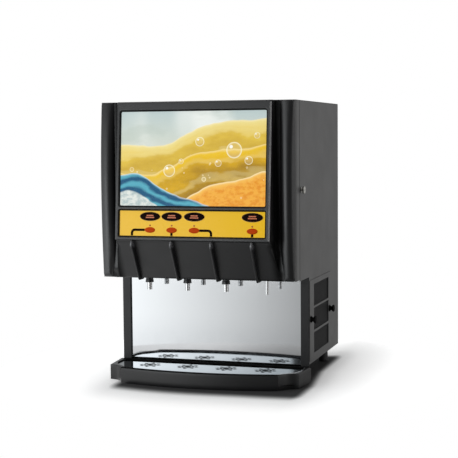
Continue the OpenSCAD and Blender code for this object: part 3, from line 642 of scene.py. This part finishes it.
def round_rect(x, u, win, off, corner):
    """The point of a window's outline, grown by off, that lies nearest to a point of its border."""
    lo, hi = win
    cu, hu = (lo + hi) / 2, (hi - lo) / 2
    r = max(0.6, corner + off)
    ka, kb = WIN_HALF + off - r, hu + off - r
    qx, qu = clamp(x, -ka, ka), clamp(u - cu, -kb, kb)
    dx, du = x - qx, u - cu - qu
    n = math.hypot(dx, du)
    return (qx + r * dx / n, cu + qu + r * du / n)


def window_border(rows_z, cols_x, win):
    """Grid places round a window, in order: along the top, down the right, back and up."""
    top, bot = u_to_z(win[1] + BORDER), u_to_z(win[0] - BORDER)
    edge = WIN_HALF + BORDER
    i0 = min(range(len(rows_z)), key=lambda i: abs(rows_z[i] - top))
    i1 = min(range(len(rows_z)), key=lambda i: abs(rows_z[i] - bot))
    k0 = min(range(len(cols_x)), key=lambda k: abs(cols_x[k] + edge))
    k1 = min(range(len(cols_x)), key=lambda k: abs(cols_x[k] - edge))
    loop = [(i0, k) for k in range(k0, k1)] + [(i, k1) for i in range(i0, i1)]
    loop += [(i1, k) for k in range(k1, k0, -1)] + [(i, k0) for i in range(i1, i0, -1)]
    return i0, i1, k0, k1, loop


def door_cover():
    rows = cover_rows()
    half = [cover_half_row(r) for r in rows]
    full = [[(-x, y, z) for x, y, z in h[:0:-1]] + h for h in half]
    bm = bmesh.new()
    vs = [[bm.verts.new(pt(*p)) for p in r] for r in full]
    mid = len(full[0]) // 2
    face_row = next(i for i, r in enumerate(rows) if r[0] == 730.0)
    zs = [r[mid][2] for r in full]
    xs = [p[0] for p in full[face_row]]
    spans = [window_border(zs, xs, w) for w in WINDOWS]
    for i in range(len(vs) - 1):
        for k in range(len(vs[0]) - 1):
            if any(i0 <= i < i1 and k0 <= k < k1 for i0, i1, k0, k1, _ in spans):
                continue
            f = bm.faces.new((vs[i][k], vs[i + 1][k], vs[i + 1][k + 1], vs[i][k + 1]))
            j = k - mid if k >= mid else mid - k - 1
            if len(FACE_X) <= j < len(FACE_X) + 7 and rows[i + 1][0] > 388.0 and rows[i][0] < 742.0:
                f.material_index = 1
    # rounded reveal of both windows
    for win, corner, (_, _, _, _, loop) in zip(WINDOWS, WIN_CORNER, spans):
        prev = [vs[i][k] for i, k in loop]
        flat = []
        for i, k in loop:
            x, y, z = full[i][k]
            flat.append((x, (y + 92.5) * SL + (z - 399.0) * CL))
        for off, d in ((1.3, 0.0), (0.8, 0.1), (0.38, 0.38), (0.1, 0.8), (0.0, 1.3), (0.0, 4.05)):
            ring = []
            for x, u in flat:
                q = round_rect(x, u, win, OPENING + off, corner - OPENING)
                ring.append(bm.verts.new(face_pt(q[0], d, q[1])))
            n = len(ring)
            for j in range(n):
                bm.faces.new((prev[j], prev[(j + 1) % n], ring[(j + 1) % n], ring[j]))
            prev = ring
    ob = new_object("door_cover", bm, ["cover_plastic", "cover_edge"], "door", ("door_cover",), angle=40)
    s = ob.modifiers.new("wall", "SOLIDIFY")
    s.thickness = 2.4 * MM
    s.offset = -1.0
    s.use_even_offset = False
    return ob


def window_seals():
    """Rubber strips that hold the two panels in their openings."""
    bm = bmesh.new()
    for win, corner in zip(WINDOWS, WIN_CORNER):
        path = []
        cu, hu = (win[0] + win[1]) / 2, (win[1] - win[0]) / 2
        a, b, r = WIN_HALF + 6.0, hu + 6.0, corner + 6.0
        for cx, cz, start in ((a - r, b - r, 0), (r - a, b - r, 90), (r - a, r - b, 180), (a - r, r - b, 270)):
            path += [(cx + r * math.cos(math.radians(start + 9 * i)), cu + cz + r * math.sin(math.radians(start + 9 * i))) for i in range(11)]
        rings = []
        for off, d in ((-0.3, 4.05), (-0.25, 3.4), (0.1, 2.9), (0.8, 2.62), (1.7, 2.55), (2.6, 2.62), (3.15, 2.85), (3.32, 3.3), (3.32, 4.05)):
            ring = []
            for x, u in path:
                q = round_rect(x, u, win, off, corner - OPENING)
                ring.append(face_pt(q[0], d, q[1]))
            rings.append(ring)
        rings.append(rings[0])
        loft(bm, rings)
    return new_object("window_seals", bm, ["seal_rubber"], "door", angle=50)


def door_ribs():
    """Four drip ribs on the apron, with a rounded front edge."""
    line = [(-91.4, 388.0), (-95.0, 384.8), (-97.8, 380.6), (-98.8, 376.4), (-97.8, 371.0), (-94.4, 364.6)]
    line += [(lerp(-89.0, -43.5, i / 6), lerp(356.0, 279.6, i / 6)) for i in range(7)]
    line += [(-41.6, 277.6), (-38.5, 276.7), (-30, 276.5), (-20, 276.5), (-12, 276.7), (-9.4, 278.0), (-8.6, 280.6)]
    root = [(lerp(-79.5, -31.0, i / 12), lerp(384.6, 288.0, i / 12)) for i in range(13)]
    root += [(-29.5, 285.0), (-27.5, 283.4), (-24, 282.9), (-18, 282.8), (-12.5, 282.8), (-11, 282.7), (-10.4, 282.5)]
    bm = bmesh.new()
    for cx in (-162, -54, 54, 162):
        rings = []
        for (py, pz), (qy, qz) in zip(line, root):
            d = Vector((0, qy - py, qz - pz))
            d = d.normalized() if d.length > 1e-6 else Vector((0, 0, 1))
            h = 2.8
            ring = [pt(cx + h, qy, qz)]
            for i in range(9):
                a = math.radians(90 - 22.5 * i)
                ring.append(pt(cx + h * math.sin(a), py + d.y * h * (1 - math.cos(a)), pz + d.z * h * (1 - math.cos(a))))
            ring.append(pt(cx - h, qy, qz))
            rings.append(ring)
        loft(bm, rings, True, True, True)
    return new_object("door_drip_ribs", bm, ["rib_plastic"], "door", angle=45)


# ---------------------------------------------------------------- drip tray


def bow(f, e, g, n):
    """Arc through (0, -f) and (e, -g), from the right end to the left."""
    s = f - g
    r = (e * e + s * s) / (2 * s)
    a = math.asin(e / r)
    return [(r * math.sin(a - 2 * a * i / n), -f + r - r * math.cos(a - 2 * a * i / n)) for i in range(n + 1)]


def arc(cx, cy, r, a0, a1, n):
    return [(cx + r * math.cos(math.radians(lerp(a0, a1, i / n))), cy + r * math.sin(math.radians(lerp(a0, a1, i / n)))) for i in range(n + 1)]


def flip(p):
    return [(-x, y) for x, y in reversed(p)]


def line(a, b, n):
    return [(lerp(a[0], b[0], i / n), lerp(a[1], b[1], i / n)) for i in range(n)]


def ray_hit(poly, c, ang):
    dx, dy = math.cos(ang), math.sin(ang)
    best = None
    for (x0, y0), (x1, y1) in zip(poly, poly[1:] + poly[:1]):
        ex, ey = x1 - x0, y1 - y0
        den = dx * ey - dy * ex
        if abs(den) < 1e-12:
            continue
        t = ((x0 - c[0]) * ey - (y0 - c[1]) * ex) / den
        s = ((x0 - c[0]) * dy - (y0 - c[1]) * dx) / den
        if t > 0 and -1e-9 <= s <= 1 + 1e-9 and (best is None or t > best):
            best = t
    return (c[0] + dx * best, c[1] + dy * best)


def inset(poly, d):
    """Points moved inwards along the outline's normals; the outline runs clockwise seen from above."""
    out = []
    n = len(poly)
    for i in range(n):
        (x0, y0), (x1, y1), (x2, y2) = poly[i - 1], poly[i], poly[(i + 1) % n]
        a = Vector((x1 - x0, y1 - y0))
        b = Vector((x2 - x1, y2 - y1))
        a = a.normalized() if a.length > 1e-9 else b.normalized()
        b = b.normalized() if b.length > 1e-9 else a
        nrm = Vector((a.y + b.y, -(a.x + b.x)))
        nrm = nrm.normalized() if nrm.length > 1e-9 else Vector((a.y, -a.x))
        k = 1.0 / max(0.6, nrm.dot(Vector((a.y, -a.x))))
        out.append((x1 + nrm.x * d * k, y1 + nrm.y * d * k))
    return out


def drip_tray():
    """Tray with a bowed front, sharp corners and a cove beside the bow. The rings run from the hollow
    underside up the wall, over the rim and down into the well."""
    rear = arc(267.8, 90.5, 3, 90, 0, 4)
    flank = line((270.7, 88.0), (262.9, -3.0), 18)
    corner = arc(261.3, -7.0, 1.0, 0, -90, 4)
    cove = []
    for i in range(15):
        v = i / 15
        cove.append(((1 - v) ** 2 * 258 + 2 * v * (1 - v) * 232 + v * v * 216, (1 - v) ** 2 * -8 - 18 * v * (1 - v) - 46 * v * v))
    nose = arc(215.5, -45.3, 0.8, 20, -80, 4)
    side = rear + flank + corner + line((260.2, -8.0), (258.0, -8.0), 2) + cove + nose
    outer = side + bow(75, 214.8, 46.3, 80) + flip(side)
    outer += line((-266.0, 93.5), (266.0, 93.5), 60)
    edge = arc(253, 76, 3, 90, 0, 3) + [(256, 32), (247, 9), (209, -29)]
    well = edge + bow(55, 205, 31, 60) + flip(edge)
    c = (0.0, 15.0)
    angles = [math.atan2(y - c[1], x - c[0]) for x, y in outer]
    # the cove turns back on itself as seen from the middle, so its rays are spread evenly
    a, b = len(rear) + len(flank), len(side)
    n = len(outer)
    for i in range(a, b):
        angles[i] = lerp(angles[a], angles[b], (i - a) / (b - a))
        angles[len(side) + 81 + (len(side) - 1 - i)] = math.pi - angles[i] if angles[i] > 0 else -math.pi - angles[i]
    inner = [ray_hit(well, c, g) for g in angles]
    for q in [(256, 32), (247, 9), (209, -29), (-256, 32), (-247, 9), (-209, -29)]:
        k = min(range(n), key=lambda i: math.hypot(inner[i][0] - q[0], inner[i][1] - q[1]))
        inner[k] = q
    turn = sum(p[0] * q[1] - q[0] * p[1] for p, q in zip(outer, outer[1:] + outer[:1]))
    sgn = 1.0 if turn < 0 else -1.0

    def ring(poly, d, z, back=None):
        return [pt(x, y, (back if back is not None and yy > 89 else z)) for (x, y), (_, yy) in zip(inset(poly, sgn * d), outer)]

    rings = [ring(outer, 3.4, 11.8), ring(outer, 3.2, 1.3, 11.6), ring(outer, 0.9, 1.0, 11.5), ring(outer, 0.25, 1.25, 11.6), ring(outer, 0.0, 2.0, 12.2)]
    rings += [ring(outer, 0.0, z) for z in (14.0, 24.0, 34.0, 39.4)]
    for i in range(1, 6):
        t = math.radians(18 * i)
        rings.append(ring(outer, 1.6 * (1 - math.cos(t)), 39.4 + 1.6 * math.sin(t)))
    rings += [ring(inner, -1.8, 41.0), ring(inner, -1.2, 40.85), ring(inner, -0.5, 40.3), ring(inner, -0.1, 39.4), ring(inner, 0.0, 38.0)]
    rings += [ring(inner, 0.0, 36.3), ring(inner, 0.3, 36.0), ring(inner, 7.0, 36.0), ring(inner, 8.0, 35.4), ring(inner, 8.6, 34.0), ring(inner, 11.0, 17.5), ring(inner, 12.5, 15.6), ring(inner, 15.0, 15.0)]
    bm = bmesh.new()
    loft(bm, rings, True, True, True)
    # painted shade: a dull near-black finish on the rear rim, which lies against the backsplash, and along the top of
    # the front rim
    lo_y, lo_z, bow_y = pt(0, 78.5, 0).y, 0.0362, pt(0, -28, 0).y
    for f in bm.faces:
        if all(v.co.y > lo_y and v.co.z > lo_z for v in f.verts) or all(v.co.y < bow_y and v.co.z > 0.0403 for v in f.verts):
            f.material_index = 1
    # painted light: the wall of the well behind the front rim is coloured a lighter grey
    bm.faces.ensure_lookup_table()
    for f in bm.faces[15 * n:19 * n]:
        if all(v.co.y < bow_y for v in f.verts):
            f.material_index = 2
    return new_object("drip_tray", bm, ["tray_plastic", "dull_rubber_and_painted_shade", "well_wall_painted_light"], "tray", ("drip_tray",), angle=40)


# ---------------------------------------------------------------- controls

BUTTON_X = (-112.5, -53.0, 8.0, 163.0)
BUTTON_U, OVAL_U, LED_U = 14.8, 49.7, 26.7


def ell(cx, cu, a, b, d, n=72):
    return [face_pt(cx + a * math.cos(2 * math.pi * i / n), d, cu + b * math.sin(2 * math.pi * i / n)) for i in range(n)]


def push_button(i):
    cx = BUTTON_X[i]
    bm = bmesh.new()
    rings = [ell(cx, BUTTON_U, 17, 9.4, 9.6), ell(cx, BUTTON_U, 17, 9.4, 7.5), ell(cx, BUTTON_U, 14, 7, 7.4), ell(cx, BUTTON_U, 14, 7, 3.2)]
    for k in range(1, 5):
        a = math.radians(22.5 * k)
        rings.append(ell(cx, BUTTON_U, 14 - 1.4 * (1 - math.cos(a)), 7 - 1.4 * (1 - math.cos(a)), 3.2 - 1.2 * math.sin(a)))
    for s in (0.72, 0.5, 0.28, 0.1):
        rings.append(ell(cx, BUTTON_U, 12.6 * s, 5.6 * s, 2.0 - 0.4 * (1 - s * s)))
    loft(bm, rings, True, True, True)
    return new_object("push_button_%d" % (i + 1), bm, ["button_orange"], "button_%d" % (i + 1), ("push_button_%d" % (i + 1),), angle=50)


def stroke(points, half, d0, d1, bm, mat=0):
    """Flat raised line of constant width along points (x, u) on the face."""
    left, right = [], []
    n = len(points)
    for i, p in enumerate(points):
        a = Vector(points[max(0, i - 1)])
        b = Vector(points[min(n - 1, i + 1)])
        t = (b - a).normalized()
        left.append((p[0] - t.y * half, p[1] + t.x * half))
        right.append((p[0] + t.y * half, p[1] - t.x * half))
    rings = []
    for l, r in zip(left, right):
        rings.append([face_pt(l[0], d1, l[1]), face_pt(l[0], d0, l[1]), face_pt(r[0], d0, r[1]), face_pt(r[0], d1, r[1])])
    loft(bm, rings, True, True, True, mat)


def flavour_labels():
    """Black ovals with a fine pale edge and two plain marks, and the lines that lead to the taps."""
    bm = bmesh.new()
    for cx in BUTTON_X:
        loft(bm, [ell(cx, OVAL_U, 28.6, 12.4, 4.1), ell(cx, OVAL_U, 28.6, 12.4, 3.75), ell(cx, OVAL_U, 28.4, 12.2, 3.66), ell(cx, OVAL_U, 27.0, 10.8, 3.66)], True, True, True, 1)
        rings = [ell(cx, OVAL_U, 27.5, 11.3, 3.9), ell(cx, OVAL_U, 27.5, 11.3, 3.6), ell(cx, OVAL_U, 27.2, 11.0, 3.5), ell(cx, OVAL_U, 14, 5, 3.45), ell(cx, OVAL_U, 3, 1, 3.44)]
        loft(bm, rings, True, True, True, 0)
        stroke([(cx - 9.5, OVAL_U + 2.6), (cx + 9.5, OVAL_U + 2.6)], 1.5, 3.34, 3.6, bm, 2)
        stroke([(cx - 11.5, OVAL_U - 2.6), (cx + 11.5, OVAL_U - 2.6)], 1.5, 3.34, 3.6, bm, 2)
    for x0, x1 in ((BUTTON_X[0] - 14.5, -162.0), (BUTTON_X[2] + 14.5, 54.0)):
        s = 1 if x1 > x0 else -1
        path = [(x0, BUTTON_U), (lerp(x0, x1 - s * 8, 0.5), BUTTON_U)]
        path += [(x1 - s * 8 + s * 8 * math.sin(math.radians(a)), BUTTON_U - 8 + 8 * math.cos(math.radians(a))) for a in range(0, 91, 9)]
        path += [(x1, 0.0)]
        stroke(path, 3.1, 3.6, 4.1, bm, 0)
    for i in (1, 3):
        stroke([(BUTTON_X[i], 7.6), (BUTTON_X[i], 0.0)], 3.0, 3.6, 4.1, bm, 0)
    return new_object("flavour_labels", bm, ["label_black", "label_line", "label_mark"], "door", ("flavour_labels",), angle=40)


def indicator_leds():
    bm = bmesh.new()
    for cx in BUTTON_X:
        rings = [ell(cx, LED_U, 2.2, 2.2, 15.0, 32), ell(cx, LED_U, 2.2, 2.2, 4.0, 32)]
        for k in range(1, 6):
            a = math.radians(17 * k)
            rings.append(ell(cx, LED_U, 2.2 * math.cos(a), 2.2 * math.cos(a), 4.0 - 0.9 * math.sin(a), 32))
        loft(bm, rings, True, True, True)
    return new_object("indicator_leds", bm, ["led_red"], "door", ("indicator_leds",), angle=50)


# ---------------------------------------------------------------- side vent


def air_filter():
    """Dark filter pad with a wire mesh in front of it."""
    bm = bmesh.new()
    y0, y1, z0, z1 = 141.0, 323.0, 67.0, 259.0

    def frame_ring(g, x):
        return [pt(x, y0 + g, z0 + g), pt(x, y1 - g, z0 + g), pt(x, y1 - g, z1 - g), pt(x, y0 + g, z1 - g)]

    loft(bm, [frame_ring(0, 260.0), frame_ring(0, 263.4), frame_ring(0.8, 264.2), frame_ring(3.2, 264.2), frame_ring(3.6, 263.6), frame_ring(3.6, 261.6)], True, True, True, 0)

    def wire(a, b, r):
        d = (b - a).normalized()
        s = d.cross(Vector((1, 0, 0))).normalized()
        u = Vector((1, 0, 0))
        rings = []
        for p in (a, b):
            rings.append([p + (s * math.cos(math.radians(60 * k)) + u * math.sin(math.radians(60 * k))) * r for k in range(6)])
        loft(bm, rings, True, True, True, 1)

    pitch = 4.2
    y = y0 + 5
    while y < y1 - 4:
        wire(pt(262.9, y, z0 + 3.8), pt(262.9, y, z1 - 3.8), 0.62 * MM)
        y += pitch
    z = z0 + 5
    while z < z1 - 4:
        wire(pt(263.7, y0 + 3.8, z), pt(263.7, y1 - 3.8, z), 0.62 * MM)
        z += pitch
    return new_object("air_filter", bm, ["filter_mesh", "mesh_wire"], "cabinet", ("air_filter",), angle=50)


# ---------------------------------------------------------------- build

door_cover()
window_seals()
door_ribs()
drip_tray()
for i in range(4):
    push_button(i)
flavour_labels()
indicator_leds()
air_filter()

OWN_FINISH = {"drip_grille": "grille_steel", "backsplash": "splash_steel", "left_post": "post_black", "right_post": "post_black",
              "thumbscrew_front": "dull_rubber_and_painted_shade", "thumbscrew_rear": "dull_rubber_and_painted_shade",
              "upper_hinge_bracket": "compressor_black", "lower_hinge_bracket": "compressor_black"}
slots = {s["node"]: s["material_slot"] for s in frame["record"]["subparts"]}
for name, ob in NODES.items():
    mat = M[OWN_FINISH.get(name, slots[name])].mat
    ob.data.materials.clear()
    ob.data.materials.append(mat)
    for p in ob.data.polygons:
        p.material_index = 0

for name, w in (("left_side_panel", 0.8), ("right_side_panel", 0.8), ("top_panel", 0.8), ("rear_panel", 0.5), ("door_pan", 2.0), ("vent_cover", 0.5),
                ("left_post", 0.8), ("right_post", 0.8), ("drip_grille", 0.5), ("lock_barrel", 0.5), ("thumbscrew_front", 0.6),
                ("thumbscrew_rear", 0.6), ("juice_containers", 3.0), ("container_caps", 0.8), ("pump_housings", 0.8), ("water_valve", 0.8),
                ("power_supply", 0.8), ("front_frame", 0.4), ("cold_liner", 1.0), ("power_inlet", 0.5), ("backsplash", 0.4)):
    bevelled(NODES[name], w)


# ---------------------------------------------------------------- stage, light and camera


def floor():
    """Pale round floor with a painted contact shadow round the object. Away from the object it is as bright as the
    backdrop, so no edge shows.
    """
    bm = bmesh.new()
    n, rings = 96, (0.0, 0.16, 0.32, 0.48, 0.64)
    rows = [[bm.verts.new((r * math.cos(2 * math.pi * i / n), r * math.sin(2 * math.pi * i / n), 0.0)) for i in range(n)] for r in rings[1:]]
    hub = bm.verts.new((0.0, 0.0, 0.0))
    for i in range(n):
        bm.faces.new((hub, rows[0][i], rows[0][(i + 1) % n]))
    for a, b in zip(rows, rows[1:]):
        for i in range(n):
            bm.faces.new((a[i], b[i], b[(i + 1) % n], a[(i + 1) % n]))
    me = bpy.data.meshes.new("floor")
    bm.to_mesh(me)
    bm.free()
    ob = bpy.data.objects.new("floor", me)
    bpy.context.scene.collection.objects.link(ob)
    t = Tree("floor_white")
    t.set(Roughness=0.8)
    t.bsdf.inputs["Specular IOR Level"].default_value = 0.1
    X, Y, _ = t.xyz()
    # distance from the tray's bowed front, stretched at the sides, where the painted contact shadow is short
    left = t.math("MULTIPLY", t.math("MAXIMUM", t.math("SUBTRACT", t.math("MULTIPLY", X, -1.0), 0.20), 0.0), 2.0)
    right = t.math("MULTIPLY", t.math("MAXIMUM", t.math("SUBTRACT", X, t.span(Y, -0.15, 0.05, 0.266, 0.243)), 0.0), 2.4)
    dx = t.math("ADD", left, right)
    front = t.math("SUBTRACT", t.math("MULTIPLY", t.math("MULTIPLY", X, X), t.span(X, -0.05, 0.20, 0.62, 0.15)), t.math("ADD", Y, 0.276))
    dy = t.math("MAXIMUM", t.math("MAXIMUM", front, t.math("MULTIPLY", t.math("SUBTRACT", Y, 0.262), t.span(X, 0.12, 0.26, 2.4, 1.0))), 0.0)
    d = t.math("SQRT", t.math("ADD", t.math("MULTIPLY", dx, dx), t.math("MULTIPLY", dy, dy)))
    path = t.t.nodes.new("ShaderNodeLightPath").outputs
    pale = t.mix(t.noise(1.5, 2), (0.80, 0.80, 0.80, 1), (0.84, 0.84, 0.84, 1))
    # painted shadow: the floor's colour darkens towards the object, and is dimmer still to rays other than the camera's
    cover = t.math("MULTIPLY", t.span(d, 0.01, 0.09, FLOOR_PAINTED_SHADOW, 1.0, smooth=True), t.span(path["Is Camera Ray"], 0.0, 1.0, 0.45, 1.0))
    t.set(Base_Color=t.mix(cover, (0.01, 0.01, 0.011, 1), pale))
    # emission seen by the camera rises away from the object, leaving the painted shadow near it
    far = t.math("ADD", t.span(d, 0.03, 0.085, 0.0, 0.27, smooth=True), t.span(d, 0.085, 0.20, 0.0, 0.10, smooth=True))
    far = t.math("ADD", far, t.span(d, 0.085, 0.45, 0.0, FLOOR_FAR))
    rad = t.math("SQRT", t.math("ADD", t.math("MULTIPLY", X, X), t.math("MULTIPLY", Y, Y)))
    # painted reflection: to glossy rays the floor glows, brighter on the left and towards its rim
    near = t.math("ADD", t.span(X, -0.25, 0.14, FLOOR_GLOSS[0], FLOOR_GLOSS[1], smooth=True), t.span(rad, 0.38, 0.64, 0.0, FLOOR_RIM))
    near = t.math("MULTIPLY", near, t.span(d, 0.0, 0.02))
    lift = t.math("ADD", t.math("MULTIPLY", far, path["Is Camera Ray"]), t.math("MULTIPLY", near, path["Is Glossy Ray"]))
    t.set(Emission_Color=(1, 1, 1, 1), Emission_Strength=lift)
    me.materials.append(t.mat)


def studio():
    """White backdrop; the room round it is dim, with a broad bright side on the left, a narrow one on
    the right and a soft ceiling."""
    world = bpy.data.worlds.new("studio")
    world.use_nodes = True
    nt = world.node_tree
    nt.nodes.clear()

    def node(kind, **kw):
        n = nt.nodes.new(kind)
        for k, v in kw.items():
            setattr(n, k, v)
        return n

    def put(sock, v):
        if isinstance(v, bpy.types.NodeSocket):
            nt.links.new(v, sock)
        else:
            sock.default_value = v

    def op(kind, a, b=0.0):
        n = node("ShaderNodeMath", operation=kind)
        put(n.inputs[0], a)
        put(n.inputs[1], b)
        return n.outputs[0]

    def span(v, a, b, c, d):
        n = node("ShaderNodeMapRange", interpolation_type="SMOOTHSTEP")
        for i, q in enumerate((v, a, b, c, d)):
            put(n.inputs[i], q)
        return n.outputs[0]

    sep = node("ShaderNodeSeparateXYZ")
    nt.links.new(node("ShaderNodeTexCoord").outputs["Generated"], sep.inputs[0])
    x, y, z = sep.outputs
    turn = op("ARCTAN2", x, op("MULTIPLY", y, -1.0))
    below = op("MULTIPLY", span(turn, -0.13, -0.50, 0.0, SKY_BELOW), span(z, -0.40, -0.14, 0.3, 1.0))
    above = op("MULTIPLY", span(turn, -0.32, -0.68, 0.0, SKY_LEFT), span(z, 0.30, 0.62, 1.0, 0.0))
    edge = span(z, -0.075, -0.02, 0.0, 1.0)
    left = op("ADD", op("MULTIPLY", above, edge), op("MULTIPLY", below, op("SUBTRACT", 1.0, edge)))
    left = op("MULTIPLY", left, span(turn, -1.0, -1.8, 1.0, 0.3))
    right = op("MULTIPLY", span(turn, 1.05, 1.45, 0.0, SKY_RIGHT), span(turn, 1.9, 2.5, 1.0, 0.35))
    right = op("MULTIPLY", right, op("MULTIPLY", span(z, 0.30, 0.62, 1.0, 0.0), span(z, -0.40, -0.04, 0.15, 1.0)))
    level = op("ADD", SKY_BASE, op("ADD", left, right))
    level = op("ADD", level, span(z, 0.35, 0.85, 0.0, SKY_TOP))
    col = node("ShaderNodeMix", data_type="RGBA")
    put(col.inputs[0], span(x, 0.2, -0.6, 0.0, 1.0))
    put(col.inputs[6], (1.0, 0.998, 0.992, 1))
    put(col.inputs[7], (0.955, 0.985, 1.0, 1))
    room = node("ShaderNodeBackground")
    put(room.inputs["Color"], col.outputs[2])
    put(room.inputs["Strength"], level)
    white = node("ShaderNodeBackground")
    put(white.inputs["Color"], (1, 1, 1, 1))
    put(white.inputs["Strength"], 1.0)
    pick = node("ShaderNodeMixShader")
    nt.links.new(node("ShaderNodeLightPath").outputs["Is Camera Ray"], pick.inputs[0])
    nt.links.new(room.outputs[0], pick.inputs[1])
    nt.links.new(white.outputs[0], pick.inputs[2])
    nt.links.new(pick.outputs[0], node("ShaderNodeOutputWorld").inputs[0])
    bpy.context.scene.world = world


SKY_BASE, SKY_LEFT, SKY_BELOW, SKY_RIGHT, SKY_TOP = 0.145, 1.5, 1.9, 1.08, 0.25
FLOOR_PAINTED_SHADOW, FLOOR_FAR, FLOOR_GLOSS, FLOOR_RIM = 0.05, 0.35, (0.72, 0.09), 0.17


def area(name, loc, target, sx, sy, energy, col=(1, 1, 1)):
    d = bpy.data.lights.new(name, "AREA")
    d.shape = "RECTANGLE"
    d.size, d.size_y = sx, sy
    d.energy = energy
    d.color = col
    ob = bpy.data.objects.new(name, d)
    ob.location = loc
    ob.rotation_mode = "QUATERNION"
    ob.rotation_quaternion = (Vector(target) - Vector(loc)).to_track_quat("-Z", "Y")
    ob.visible_camera = False
    bpy.context.scene.collection.objects.link(ob)
    return ob


floor()
studio()
area("key_low", (-0.96, -2.05, 0.33), (-0.55, 0, 0.30), 1.3, 0.56, 8.4, (0.95, 0.98, 1.0))
area("key_high", (-0.80, -2.05, 1.16), (-0.45, 0, 0.95), 1.3, 1.08, 4.1, (0.95, 0.98, 1.0))
area("top", (-0.9, -0.6, 2.5), (0, 0, 0.3), 1.6, 1.6, 14.0)
area("strip", (2.3, -0.85, 0.62), (0.25, -0.15, 0.55), 0.12, 1.5, 3.2)

scn = bpy.context.scene
scn.view_settings.view_transform = "Standard"
scn.view_settings.look = "None"

cam_data = bpy.data.cameras.new("camera")
cam_data.sensor_fit = "HORIZONTAL"
cam_data.sensor_width = 36.0
cam_data.lens = 1231.6 * 36.0 / 458.0
cam_data.clip_start, cam_data.clip_end = 0.05, 60.0
cam = bpy.data.objects.new("camera", cam_data)
bpy.context.scene.collection.objects.link(cam)
yaw, pitch, roll = math.radians(17.41), math.radians(4.24), math.radians(0.468)
fwd = Vector((-math.sin(yaw) * math.cos(pitch), math.cos(yaw) * math.cos(pitch), -math.sin(pitch)))
right = Vector((math.cos(yaw), math.sin(yaw), 0.0))
down = fwd.cross(right)
ax_r = right * math.cos(roll) + down * math.sin(roll)
ax_d = right * -math.sin(roll) + down * math.cos(roll)
rot = Matrix((ax_r, -ax_d, -fwd)).transposed()
cam.matrix_world = Matrix.Translation(Vector((1.0326, -3.2444, 0.6495))) @ rot.to_4x4()
scn.camera = cam

bpy.context.view_layer.update()
